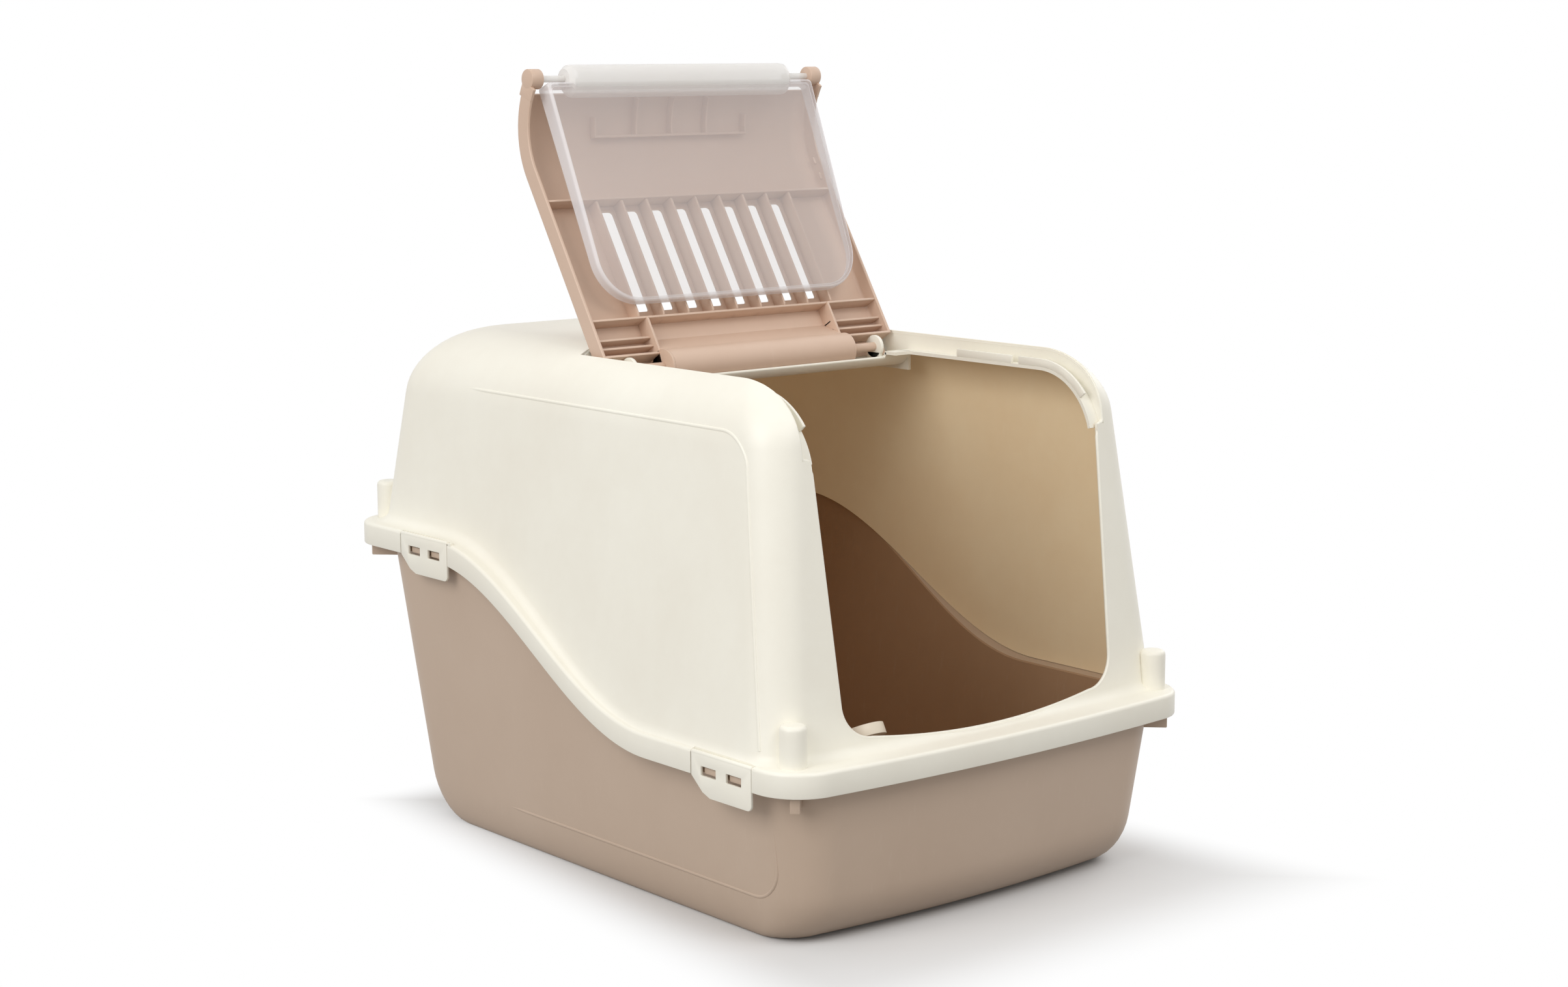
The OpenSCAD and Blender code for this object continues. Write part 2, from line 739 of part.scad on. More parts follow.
module lid_slot(x) {
    near = near_rib + lid_rib + slot_margin;
    far = far_rib - slot_margin_far;
    half = (slot_pitch - lid_rib) / 2 - slot_side;
    translate([x, 0, lid_top - 6]) {
        translate([-half, lid_y(far - slot_r), 0])
            cube([2 * half, far - near - 2 * slot_r, 10]);
        translate([slot_r - half, lid_y(far), 0])
            cube([2 * (half - slot_r), far - near, 10]);
        for (s = [near + slot_r, far - slot_r], u = [-1, 1])
            translate([u * (half - slot_r), lid_y(s), 0])
                cylinder(h = 10, r = slot_r, $fn = 32);
    }
}

module lid_side() {
    box_start = 10;
    inner = lid_half - lid_wall;
    across(inner, lid_half) lid_band(0, lid_depth, lid_y(box_start), wall_end);
    cross_rib(box_start, barrel_half, inner + 1, 0);
    for (s = [18, 25]) cross_rib(s, barrel_half, inner + 1, 4);
    // Web beside the barrel
    across(barrel_half, barrel_half + 2)
        polygon([[lid_y(0), lid_top - 1], [lid_y(0), hinge_z], [lid_y(13), rim_z],
                 [lid_y(near_rib + 1), rim_z], [lid_y(near_rib + 1), lid_top - 1]]);
    bar(barrel_half, barrel_half + 2, hinge_y, hinge_z, barrel_r);
    // Hinge pin
    bar(barrel_half + 1, bracket_x + bracket_t + 0.5, hinge_y, hinge_z, pin_r);
    // Snap catches inside the side wall
    for (s = [158, 172])
        translate([inner - 1.6, lid_y(s), rim_z + 5]) cube([2.6, 6, 2]);
}

module lid_closed() {
    inner = lid_half - lid_wall;
    pitch = function (i, n) (i - (n - 1) / 2) * slot_pitch;
    difference() {
        union() {
            across(-lid_half, lid_half) lid_band(0, lid_skin, lid_y(-2), plate_end);
            mirrored() lid_side();
            // Barrel and the plate that ties it to the skin
            difference() {
                bar(-barrel_half - 1, barrel_half + 1, hinge_y, hinge_z, barrel_r);
                bar(-barrel_half, barrel_half, hinge_y, hinge_z, barrel_r - 2.2);
            }
            across(-barrel_half - 1, barrel_half + 1)
                polygon([[lid_y(11), hinge_z - 4], [lid_y(12.2), hinge_z - 4],
                         [lid_y(28), lid_top - lid_skin / 2], [lid_y(25), lid_top - lid_skin / 2],
                         [lid_y(10.4), hinge_z - 1]]);
            cross_rib(near_rib, -inner - 1, inner + 1);
            cross_rib(far_rib, -inner - 1, inner + 1);
            // Fins between the slots
            for (i = [0:slots])
                translate([pitch(i, slots + 1) - lid_rib / 2, lid_y(far_rib), rim_z + fin_in])
                    cube([lid_rib, far_rib - near_rib, lid_depth - fin_in - lid_skin / 2]);
            // Ribs on the bend
            for (x = [-34, 0, 34]) bend_rib(x, 26, plate_end - 2);
            for (x = [-73, 73]) bend_rib(x, 26, 39);
            across(-73.9, 73.9)
                polygon(concat(arc(bend_y, bend_z, lid_bend - 1, 25, 26.7, 2),
                               arc(bend_y, bend_z, lid_bend - 8, 26.7, 25, 2)));
            // Ears for the door's pins
            mirrored() bar(door_half + 1.5, lid_half, pin_y, pin_z, ear_r);
        }
        for (i = [0:slots - 1]) lid_slot(pitch(i, slots));
        mirrored()
            bar(door_half, door_half + 8, pin_y, pin_z, door_pin_r + pin_gap);
    }
}

// The lid stands open on its stop
module opened() {
    translate([0, hinge_y, hinge_z]) rotate([-lid_swing, 0, 0])
        translate([0, -hinge_y, -hinge_z]) children();
}

module lid() {
    color(taupe) opened() lid_closed();
}

// ---- Swing door ----

// Angle at which the folded door's edge lies on the fins of the lid
door_fold = asin((pin_rest - door_edge_low + door_set) / door_len);

function door_half_at(z) = mix(door_half, door_half_low, -z / door_len);

// Outline of the hanging door, [x, z], with its pins at z = 0
function door_outline(inset) =
    let (r = door_corner - inset, low = -door_len + inset,
         x = door_half_at(low + r) - inset - r,
         right = concat([[door_half - inset, -door_shoulder - inset]],
                        [for (a = [0:-15:-90]) [x + r * cos(a), low + r + r * sin(a)]]))
    concat([for (i = [len(right) - 1:-1:0]) right[i]],
           [for (p = right) [-p.x, p.y]]);

module door_hanging() {
    difference() {
        // Plate with a raised edge, cut to a slope towards the bottom
        translate([0, -door_set + door_edge_top, 0]) rotate([90, 0, 0])
            linear_extrude(door_edge_top) polygon(door_outline(0));
        translate([0, -door_set + door_edge_top + step, 0]) rotate([90, 0, 0])
            linear_extrude(door_edge_top - door_t + step) polygon(door_outline(door_t));
        across(-box_w / 2, box_w / 2)
            polygon([[-door_set + door_edge_top, -head_r - 20],
                     [-door_set + door_edge_low, -door_len - 1],
                     [20, -door_len - 1], [20, -head_r - 20]]);
        // The head fits between the edge's upper ends
        bar(-head_half, head_half, 0, 0, head_r - door_t);
    }
    // Rolled head, open towards the outside
    difference() {
        bar(-head_half, head_half, 0, 0, head_r);
        bar(-head_half + 2, head_half - 2, 0, 0, head_r - door_t);
        translate([-head_half + 2, -head_r - 2, -head_r * 0.6])
            cube([2 * head_half - 4, head_r, 2 * head_r]);
    }
    mirrored() bar(head_half - 2, door_half + 7.5, 0, 0, door_pin_r);
}

module flap() {
    color(clear_plastic) opened() translate([0, pin_y, pin_z])
        rotate([90 + door_fold, 0, 0]) door_hanging();
}

// ---- Latches ----

// A latch at the right side, hanging from its roll at the origin. Its rear lower
// corner is cut away.
module latch_plate() {
    w = latch_w / 2;
    r = 4;
    low = roll_r - latch_h;
    outline = concat(
        [[-w, 0]],
        [for (a = [180:30:270]) [-w + r + r * cos(a), low + r + r * sin(a)]],
        [[w - 20, low], [w - 12, low + 3], [w, low + 13], [w, 0]]);
    difference() {
        across(roll_r - latch_t, roll_r) polygon(outline);
        for (s = [-0.5, 0.5])
            translate([-roll_r - 1, s * window_pitch - window_w / 2,
                       -window_drop - window_h / 2])
                cube([2 * roll_r + 2, window_w, window_h]);
    }
    translate([0, w, 0]) rotate([90, 0, 0]) cylinder(h = latch_w, r = roll_r, $fn = 32);
    translate([0, w + latch_gap + latch_pin_l - 0.5, 0]) rotate([90, 0, 0])
        cylinder(h = latch_w + 2 * (latch_gap + latch_pin_l - 0.5), r = latch_pin_r, $fn = 32);
}

module latch_at(front) {
    color(cream) translate([latch_x, front ? -latch_front_y : latch_rear_y,
                            latch_axis(front ? rim_front : rim_rear)])
        latch_plate();
}

module latch_front_right() { latch_at(true); }
module latch_front_left() { mirror([1, 0, 0]) latch_at(true); }
module latch_rear_right() { latch_at(false); }
module latch_rear_left() { mirror([1, 0, 0]) latch_at(false); }

// ---- Scoop ----

// The flat scoop: bowl towards +Y, handle towards -Y, its underside on z = 0
module scoop_flat() {
    inner_w = scoop_w - 2 * scoop_wall;
    slot_gap = inner_w / scoop_slots;
    grip_y = scoop_grip / 2 - scoop_handle;
    grip_z = scoop_depth - scoop_grip_t;
    difference() {
        translate([-scoop_w / 2, 0, 0]) cube([scoop_w, scoop_bowl, scoop_depth]);
        translate([-inner_w / 2, scoop_wall, scoop_wall])
            cube([inner_w, scoop_bowl, scoop_depth]);
        // The sides fall towards the front edge
        across(-scoop_w, scoop_w)
            polygon([[scoop_bowl * 0.45, scoop_depth + 1], [scoop_bowl + 1, scoop_wall + 3],
                     [scoop_bowl + 1, scoop_depth + 1]]);
        for (i = [0:scoop_slots - 1])
            translate([(i - scoop_slots / 2 + 0.2) * slot_gap, scoop_bowl / 8, -1])
                cube([slot_gap * 0.6, scoop_bowl * 3 / 4, scoop_wall + 2]);
    }
    difference() {
        union() {
            translate([-scoop_grip / 2, grip_y, grip_z])
                cube([scoop_grip, 1 - grip_y, scoop_grip_t]);
            translate([0, grip_y, grip_z])
                cylinder(h = scoop_grip_t, r = scoop_grip / 2, $fn = 48);
        }
        translate([0, grip_y, grip_z - 1]) cylinder(h = scoop_grip_t + 2, r = 5, $fn = 32);
    }
}

// The bowl's edge lies on the tray's floor, and the handle's end lies behind the sill
module scoop() {
    floor_z = tray_wall + run_gap;
    sill_z = sill + sill_rise + 1;
    sill_bow = front_bow * (1 - pow(scoop_left / (hood_half - hood_corner), 2));
    sill_y = hood_wall - hood_front_at(sill_z) - sill_bow;
    along = scoop_handle + scoop_back;
    grip_z = scoop_depth - scoop_grip_t;
    span = norm([scoop_bowl + along, grip_z]);
    slope = asin((sill_z - floor_z) / span) - atan(grip_z / (scoop_bowl + along));
    color(cream)
        translate([-scoop_left, sill_y + along * cos(slope) - grip_z * sin(slope),
                   floor_z + scoop_bowl * sin(slope)])
        rotate([-slope, 0, 0]) scoop_flat();
}

tray();
hood();
lid();
flap();
latch_front_left();
latch_front_right();
latch_rear_left();
latch_rear_right();
scoop();
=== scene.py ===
"""A hooded litter box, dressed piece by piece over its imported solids."""

import json
import logging
import math
from dataclasses import dataclass
from enum import Enum
from typing import Any, Callable, Iterable, Optional, Sequence

import bmesh
import bpy
from mathutils import Matrix, Vector


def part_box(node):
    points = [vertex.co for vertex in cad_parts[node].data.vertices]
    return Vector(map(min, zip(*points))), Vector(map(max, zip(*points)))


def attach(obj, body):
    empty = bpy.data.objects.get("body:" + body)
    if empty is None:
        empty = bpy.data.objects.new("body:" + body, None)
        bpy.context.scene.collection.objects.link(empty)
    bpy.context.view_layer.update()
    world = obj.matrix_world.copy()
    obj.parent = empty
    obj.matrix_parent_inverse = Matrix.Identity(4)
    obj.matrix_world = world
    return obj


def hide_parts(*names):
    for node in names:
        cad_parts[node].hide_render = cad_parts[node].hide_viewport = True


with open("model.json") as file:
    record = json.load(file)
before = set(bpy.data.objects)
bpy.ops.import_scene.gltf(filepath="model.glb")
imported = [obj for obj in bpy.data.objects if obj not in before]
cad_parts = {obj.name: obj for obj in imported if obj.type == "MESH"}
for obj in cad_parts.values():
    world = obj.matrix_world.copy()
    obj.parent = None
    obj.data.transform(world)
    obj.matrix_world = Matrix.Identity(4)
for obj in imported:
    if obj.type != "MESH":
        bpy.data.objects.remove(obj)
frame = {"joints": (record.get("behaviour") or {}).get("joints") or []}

LOG = logging.getLogger("litter_box")
MM = 0.001
QUARTER = math.pi / 2
Point = Sequence[float]
Flat = list[tuple[float, float]]
Ring = list[tuple[float, float, float]]


class Body(Enum):
    """The bodies that the pieces ride on."""

    TRAY = "tray"
    HOOD = "hood"
    LID = "lid"
    FLAP = "flap"
    SCOOP = "scoop"


class Slot(Enum):
    """The material slots that the pieces take their finishes from."""

    CREAM = "cream_plastic"
    TAUPE = "taupe_plastic"
    CLEAR = "clear_plastic"


class End(Enum):
    """The ends of the box, each with its direction along y."""

    FRONT = -1
    REAR = 1


class Cut(Enum):
    """What a cut keeps of a piece: what is outside the tool, or inside it."""

    OUTSIDE = "DIFFERENCE"
    INSIDE = "INTERSECT"


# ---- Shader helpers ----


@dataclass(frozen=True)
class Wire:
    """An output socket that can be added to, subtracted from and multiplied."""

    graph: "ShaderGraph"
    socket: bpy.types.NodeSocket

    def _maths(self, operation: str, first: Any, second: Any) -> "Wire":
        """Join two values, wires or numbers, by a Math node."""
        return self.graph.node("ShaderNodeMath", {"operation": operation}, {0: first, 1: second})

    def __add__(self, other: Any) -> "Wire":
        """Add."""
        return self._maths("ADD", self, other)

    def __radd__(self, other: Any) -> "Wire":
        """Add, reflected."""
        return self._maths("ADD", other, self)

    def __sub__(self, other: Any) -> "Wire":
        """Subtract."""
        return self._maths("SUBTRACT", self, other)

    def __mul__(self, other: Any) -> "Wire":
        """Multiply."""
        return self._maths("MULTIPLY", self, other)

    def at_most(self, limit: float) -> "Wire":
        """The smaller of the value and a limit."""
        return self._maths("MINIMUM", self, limit)


class ShaderGraph:
    """A node tree that is filled node by node."""

    def __init__(self, tree: bpy.types.NodeTree) -> None:
        """Empty the tree of a material or of the world, and keep it."""
        self.tree = tree
        tree.nodes.clear()

    def node(self, kind: str, settings: dict[str, Any], values: dict[Any, Any],
             output: Any = 0) -> Wire:
        """Make a node, set it and join it.

        Args:
            kind: The node's type.
            settings: Its settings by name, made before its values.
            values: Its socket values by name or place; a wire is joined.
            output: The output that is returned.

        Returns:
            The wire of that output.
        """
        made = self.tree.nodes.new(kind)
        for name, value in settings.items():
            setattr(made, name, value)
        for name, value in values.items():
            if isinstance(value, Wire):
                self.tree.links.new(value.socket, made.inputs[name])
            else:
                made.inputs[name].default_value = value
        if not made.outputs:
            return Wire(self, made.inputs[0])
        return Wire(self, made.outputs[output])

    def blend(self, amount: Wire, first: Any, second: Any) -> Wire:
        """Mix two colours; the amount is the share of the second."""
        return self.node("ShaderNodeMix", {"data_type": "RGBA"},
                         {0: amount, 6: first, 7: second}, 2)

    def noise(self, place: Wire, scale: float, detail: float, roughness: float = 0.5) -> Wire:
        """Cloudy noise from 0 to 1."""
        return self.node("ShaderNodeTexNoise", {}, {"Vector": place, "Scale": scale,
                                                    "Detail": detail, "Roughness": roughness})

    def soft_step(self, value: Wire, low: float, high: float) -> Wire:
        """A smooth step from 0 at a low value to 1 at a high one."""
        return self.node("ShaderNodeMapRange", {"interpolation_type": "SMOOTHSTEP"},
                         {0: value, 1: low, 2: high, 3: 0.0, 4: 1.0})


def tint(red: int, green: int, blue: int, gain: float = 1.0) -> tuple[float, ...]:
    """A display colour as a linear one.

    Args:
        red: Red, 0 to 255.
        green: Green, 0 to 255.
        blue: Blue, 0 to 255.
        gain: Factor on the linear colour.

    Returns:
        Linear red, green, blue and alpha.
    """
    def linear(value: int) -> float:
        """One channel, linear."""
        share = value / 255
        return share / 12.92 if share <= 0.04045 else ((share + 0.055) / 1.055) ** 2.4
    return tuple(min(1.0, gain * linear(value)) for value in (red, green, blue)) + (1.0,)


@dataclass(frozen=True)
class MouldedFinish:
    """Moulded plastic with cloudy tone, uneven gloss and a fine grain; it can carry a painted
    glow.
    """

    name: str
    colour: tuple[int, int, int]
    roughness: float = 0.42
    gloss_change: float = 0.1
    tone: float = 0.035
    warmth: float = 0.98
    cloud_scale: float = 9.0
    cloud_share: float = 1.8
    handling_scale: float = 70.0
    handling_share: float = 0.5
    handling_bump: float = 0.6
    grain_scale: float = 1500.0
    grain_depth: float = 0.0004
    grain: float = 0.06
    scuff: float = 0.03
    scuff_scale: tuple[float, float, float] = (240.0, 240.0, 30.0)
    scuff_range: tuple[float, float] = (0.58, 0.74)
    scuff_colour: tuple[int, int, int] = (250, 247, 240)
    scuff_rough: float = 0.06
    alpha: float = 1.0
    # A painted glow: emission that brightens a surface that is no lamp.
    painted_glow: float = 0.0
    ior: float = 1.49

    def material(self) -> bpy.types.Material:
        """Make the finish as a material.

        Returns:
            The new material.
        """
        made = bpy.data.materials.new(self.name)
        made.use_nodes = True
        graph = ShaderGraph(made.node_tree)
        place = graph.node("ShaderNodeTexCoord", {}, {}, "Object")
        cloud = graph.noise(place, self.cloud_scale, 4.0)
        handling = graph.noise(place, self.handling_scale, 6.0, 0.65)
        drawn = graph.node("ShaderNodeMapping", {}, {"Vector": place, "Scale": self.scuff_scale})
        worn = graph.soft_step(graph.noise(drawn, 1.0, 3.0, 0.7), *self.scuff_range)
        grain = graph.noise(place, self.grain_scale, 2.0)
        pale = tint(*self.colour, gain=1 + self.tone)
        deep = tint(*self.colour, gain=1 - self.tone)
        deep = (deep[0], deep[1] * self.warmth, deep[2] * self.warmth * self.warmth, 1.0)
        middle = 0.5
        spread = ((cloud - middle) * self.cloud_share
                  + (handling - middle) * self.handling_share + middle)
        colour = graph.blend(spread, deep, pale)
        colour = graph.blend(worn * self.scuff, colour, tint(*self.scuff_colour))
        rough = (self.roughness + (handling - middle) * self.gloss_change
                 + worn * self.scuff_rough)
        bump = graph.node("ShaderNodeBump", {},
                          {"Strength": self.grain, "Distance": self.grain_depth,
                           "Height": grain + handling * self.handling_bump})
        # Emission in the deep tone is a painted glow, used only where a finish sets a glow.
        shader = graph.node("ShaderNodeBsdfPrincipled", {},
                            {"Base Color": colour, "Roughness": rough, "Normal": bump,
                             "IOR": self.ior, "Alpha": self.alpha,
                             "Emission Color": deep, "Emission Strength": self.painted_glow})
        graph.node("ShaderNodeOutputMaterial", {}, {"Surface": shader})
        return made


@dataclass(frozen=True)
class Palette:
    """The materials of the whole box."""

    cream: bpy.types.Material
    # The hood's inside: darker, warmer cream with a faint glow, as painted shade and painted warm
    # bounce light.
    inside: bpy.types.Material
    taupe: bpy.types.Material
    # The tray's inside: darker, warmer taupe, as painted shade.
    tray_inside: bpy.types.Material
    lid: bpy.types.Material
    clear: bpy.types.Material
    edge: bpy.types.Material
    head: bpy.types.Material
    scoop: bpy.types.Material

    @classmethod
    def mixed(cls) -> "Palette":
        """Make every finish once.

        Returns:
            The palette.
        """
        return cls(
            cream=MouldedFinish("cream_moulded", (243, 240, 228)).material(),
            # Painted shade and painted glow: the hood's inside is darker and warmer than the
            # cream and glows faintly, standing in for shade and warm bounce light inside the
            # hood.
            inside=MouldedFinish("cream_inside_painted_shade_glow", (232, 214, 180), roughness=0.5,
                                 warmth=0.93, painted_glow=0.07).material(),
            taupe=MouldedFinish("taupe_moulded", (196, 175, 156), roughness=0.48).material(),
            # Painted shade: the tray's inside is darker and warmer than the taupe, standing in
            # for shade inside the tray.
            tray_inside=MouldedFinish("taupe_inside_painted_shade", (174, 142, 112), roughness=0.5,
                                      warmth=0.95).material(),
            lid=MouldedFinish("taupe_lid", (211, 184, 164), roughness=0.45).material(),
            clear=MouldedFinish("milky_clear", (232, 226, 226), roughness=0.22,
                                gloss_change=0.06, tone=0.01, grain=0.02, scuff=0.01,
                                alpha=0.26).material(),
            edge=MouldedFinish("milky_edge", (242, 239, 241), roughness=0.25, tone=0.01,
                               grain=0.02, alpha=0.6).material(),
            head=MouldedFinish("milky_head", (246, 244, 241), roughness=0.3, tone=0.01,
                               grain=0.02, alpha=0.7).material(),
            scoop=MouldedFinish("cream_scoop", (228, 216, 197), roughness=0.4).material())


# ---- Shapes ----


@dataclass
class Shell:
    """A closed surface in millimetres; marks are its faces' finish numbers."""

    points: list[Vector]
    faces: list[tuple[int, ...]]
    marks: list[int]

    def placed(self, matrix: Matrix) -> "Shell":
        """The shell under a transform.

        Args:
            matrix: Turn, shift or mirror.

        Returns:
            A new shell that still faces outwards.
        """
        flip = matrix.to_3x3().determinant() < 0
        faces = [tuple(reversed(one)) if flip else one for one in self.faces]
        return Shell([matrix @ point for point in self.points], faces, list(self.marks))


MIRROR = Matrix.Scale(-1, 4, (1, 0, 0))


def mirrored(shells: Sequence[Shell]) -> list[Shell]:
    """Shells of the right side, then their mirror images."""
    return [*shells, *[one.placed(MIRROR) for one in shells]]


def bridge(base: int, after: int, count: int) -> list[tuple[int, ...]]:
    """Faces between two rings, given by their first points' numbers."""
    pairs = [(i, (i + 1) % count) for i in range(count)]
    return [(base + i, base + j, after + j, after + i) for i, j in pairs]


def skin(rings: Sequence[Ring], marks: Optional[Sequence[int]] = None) -> Shell:
    """A closed surface over rings of equal length.

    Args:
        rings: The rings, in order.
        marks: Finish number of each band between two rings, then of the last cap.

    Returns:
        The shell.
    """
    count = len(rings[0])
    marks = marks or [0] * len(rings)
    points = [Vector(point) for ring in rings for point in ring]
    faces: list[tuple[int, ...]] = [tuple(range(count - 1, -1, -1))]
    numbers = [marks[0]]
    for level in range(len(rings) - 1):
        faces += bridge(level * count, (level + 1) * count, count)
        numbers += [marks[level]] * count
    faces.append(tuple(range((len(rings) - 1) * count, len(rings) * count)))
    numbers.append(marks[-1])
    return Shell(points, faces, numbers)


def tube_shell(rings: Sequence[Ring]) -> Shell:
    """A ring-shaped tube whose last ring joins its first.

    Args:
        rings: The rings round its wall.

    Returns:
        The shell.
    """
    count, total = len(rings[0]), len(rings)
    faces = []
    for level in range(total):
        faces += bridge(level * count, (level + 1) % total * count, count)
    points = [Vector(point) for ring in rings for point in ring]
    return Shell(points, faces, [0] * len(faces))


def softened(shell: Shell, soft: float, angle: float = 40.0) -> Shell:
    """Round the sharp edges of a simple shell.

    Args:
        shell: The shell.
        soft: Width of the rounding.
        angle: Least turn of an edge that is rounded, in degrees.

    Returns:
        The rounded shell.
    """
    mesh = bmesh.new()
    made = [mesh.verts.new(point) for point in shell.points]
    for face in shell.faces:
        mesh.faces.new([made[i] for i in face])
    bmesh.ops.remove_doubles(mesh, verts=mesh.verts, dist=0.001)
    bmesh.ops.recalc_face_normals(mesh, faces=mesh.faces)
    limit = math.radians(angle)
    sharp = [edge for edge in mesh.edges if edge.calc_face_angle(0.0) > limit]
    bmesh.ops.bevel(mesh, geom=sharp, offset=soft, segments=2, profile=0.5,
                    affect="EDGES", clamp_overlap=True)
    mesh.verts.index_update()
    result = Shell([vert.co.copy() for vert in mesh.verts],
                   [tuple(vert.index for vert in face.verts) for face in mesh.faces],
                   [0] * len(mesh.faces))
    mesh.free()
    return result


def across(outline: Flat, low: float, high: float, soft: float = 0.0) -> Shell:
    """An outline of (y, z) carried across the box.

    Args:
        outline: Its points.
        low: Least x.
        high: Greatest x.
        soft: Width of the rounding of its edges.

    Returns:
        The shell.
    """
    made = skin([[(low, y, z) for y, z in outline], [(high, y, z) for y, z in outline]])
    return softened(made, soft) if soft else made


def upright(outline: Flat, low: float, high: float) -> Shell:
    """An outline of (x, y) carried from a low height to a high one."""
    return skin([[(x, y, low) for x, y in outline], [(x, y, high) for x, y in outline]])


def block(low: Point, high: Point, soft: float = 0.0) -> Shell:
    """A brick between two corners.

    Args:
        low: Its lowest corner.
        high: Its highest corner.
        soft: Width of the rounding of its edges.

    Returns:
        The shell.
    """
    flat = [(low[1], low[2]), (high[1], low[2]), (high[1], high[2]), (low[1], high[2])]
    return across(flat, low[0], high[0], soft)


def brick(low: float, high: float, y: float, z: float, size: tuple[float, float],
          soft: float = 0.0) -> Shell:
    """A brick by its middle in the side view.

    Args:
        low: Least x.
        high: Greatest x.
        y: Its middle's place along the box.
        z: Its middle's height.
        size: Its length and height.
        soft: Width of the rounding of its edges.

    Returns:
        The shell.
    """
    long, tall = size[0] / 2, size[1] / 2
    return block((low, y - long, z - tall), (high, y + long, z + tall), soft)


def bar(low: float, high: float, y: float, z: float, radius: float,
        soft: float = 0.0, steps: int = 48) -> Shell:
    """A round bar across the box.

    Args:
        low: Least x.
        high: Greatest x.
        y: Its line's place along the box.
        z: Its line's height.
        radius: Its radius.
        soft: Rounding of its ends.
        steps: Number of its sides.

    Returns:
        The shell.
    """
    flat = [(y + radius * math.cos(a), z + radius * math.sin(a)) for a in circle(steps)]
    return across(flat, low, high, soft)


def circle(steps: int) -> list[float]:
    """Angles once round, the last one short of the first."""
    return [math.tau * i / steps for i in range(steps)]


def shares(steps: int) -> list[float]:
    """Even steps from 0 to 1, both included."""
    return [i / steps for i in range(steps + 1)]


def turned(end: float, steps: int) -> list[float]:
    """Angles from 0 to an end, both included."""
    return [end * i / steps for i in range(steps + 1)]


def quarter_round(step: int, start: int = 0) -> Flat:
    """A quarter round of radius 1 by its distances from both its tangents.

    Args:
        step: Degrees between its points.
        start: First angle, in degrees.

    Returns:
        Its points, from (1, 0) to (0, 1) where it starts at 0.
    """
    turns = [math.radians(a) for a in range(start, 91, step)]
    return [(1 - math.sin(a), 1 - math.cos(a)) for a in turns]


def arc(y: float, z: float, radius: float, start: float, end: float, steps: int = 12) -> Flat:
    """Points of an arc in the side view; its angle runs forward from straight up.

    Args:
        y: Centre along the box.
        z: Centre's height.
        radius: Radius.
        start: First angle, in degrees.
        end: Last angle, in degrees.
        steps: Number of its chords.

    Returns:
        Its points as (y, z).
    """
    turns = [math.radians(start + (end - start) * i / steps) for i in range(steps + 1)]
    return [(y - radius * math.sin(a), z + radius * math.cos(a)) for a in turns]


def mix(first: float, second: float, share: float) -> float:
    """A value between two others."""
    return first + (second - first) * share


def clamped(value: float) -> float:
    """A value kept between 0 and 1."""
    return min(1.0, max(0.0, value))


def raised_line(steps: Flat, half: Callable[[float], float], front: Callable[[float], float],
                corner: float, radius: float, back: float, fade: float,
                sink: float = 0.6) -> list[list[Point]]:
    """Lay a raised line on both side walls, which run into round corners in front.

    Args:
        steps: The line's points as (y, z).
        half: Half width of the walls by height.
        front: Their reach to the front by height.
        corner: Radius of the front corners.
        radius: Radius of the line.
        back: Where the line has sunk into the wall.
        fade: Length over which it sinks.
        sink: Share of its radius by which its middle lies in the wall.

    Returns:
        The right path and the left one.
    """
    path: list[Point] = []
    for y, z in steps:
        x = half(z)
        past = corner - front(z) - y
        if past > 0:
            x += math.sqrt(max(0.0, corner ** 2 - past ** 2)) - corner
        sunk = 1 - clamped((back - y) / fade)
        path.append((x - (sink + sunk) * radius, y, z))
    return [path, [(-x, y, z) for x, y, z in path]]


# ---- Objects ----


def linked(name: str, data: bpy.types.ID) -> bpy.types.Object:
    """Make an object in the scene.

    Args:
        name: Its name.
        data: Its mesh, lamp or camera.

    Returns:
        The object.
    """
    made = bpy.data.objects.new(name, data)
    bpy.context.collection.objects.link(made)
    return made


def face_outwards(mesh: bpy.types.Mesh) -> None:
    """Turn a mesh's faces outwards.

    Args:
        mesh: The mesh.
    """
    work = bmesh.new()
    work.from_mesh(mesh)
    bmesh.ops.recalc_face_normals(work, faces=work.faces)
    work.to_mesh(mesh)
    work.free()


def settle(piece: bpy.types.Object) -> None:
    """Turn a piece's modifiers into plain mesh.

    Args:
        piece: The object.
    """
    bpy.context.view_layer.update()
    graph = bpy.context.evaluated_depsgraph_get()
    mesh = bpy.data.meshes.new_from_object(piece.evaluated_get(graph), depsgraph=graph,
                                           preserve_all_data_layers=True)
    piece.modifiers.clear()
    piece.data = mesh


def build(name: str, shells: Iterable[Shell],
          materials: Sequence[bpy.types.Material] = ()) -> bpy.types.Object:
    """Make one object of some shells.

    Args:
        name: Its name.
        shells: The shells, in millimetres.
        materials: Its materials, by finish number.

    Returns:
        The object, in metres.
    """
    points: list[Vector] = []
    faces: list[tuple[int, ...]] = []
    marks: list[int] = []
    for shell in shells:
        base = len(points)
        points.extend(point * MM for point in shell.points)
        faces.extend(tuple(i + base for i in face) for face in shell.faces)
        marks.extend(shell.marks)
    mesh = bpy.data.meshes.new(name)
    mesh.from_pydata(points, [], faces)
    for material in materials:
        mesh.materials.append(material)
    mesh.polygons.foreach_set("material_index", marks)
    face_outwards(mesh)
    return linked(name, mesh)


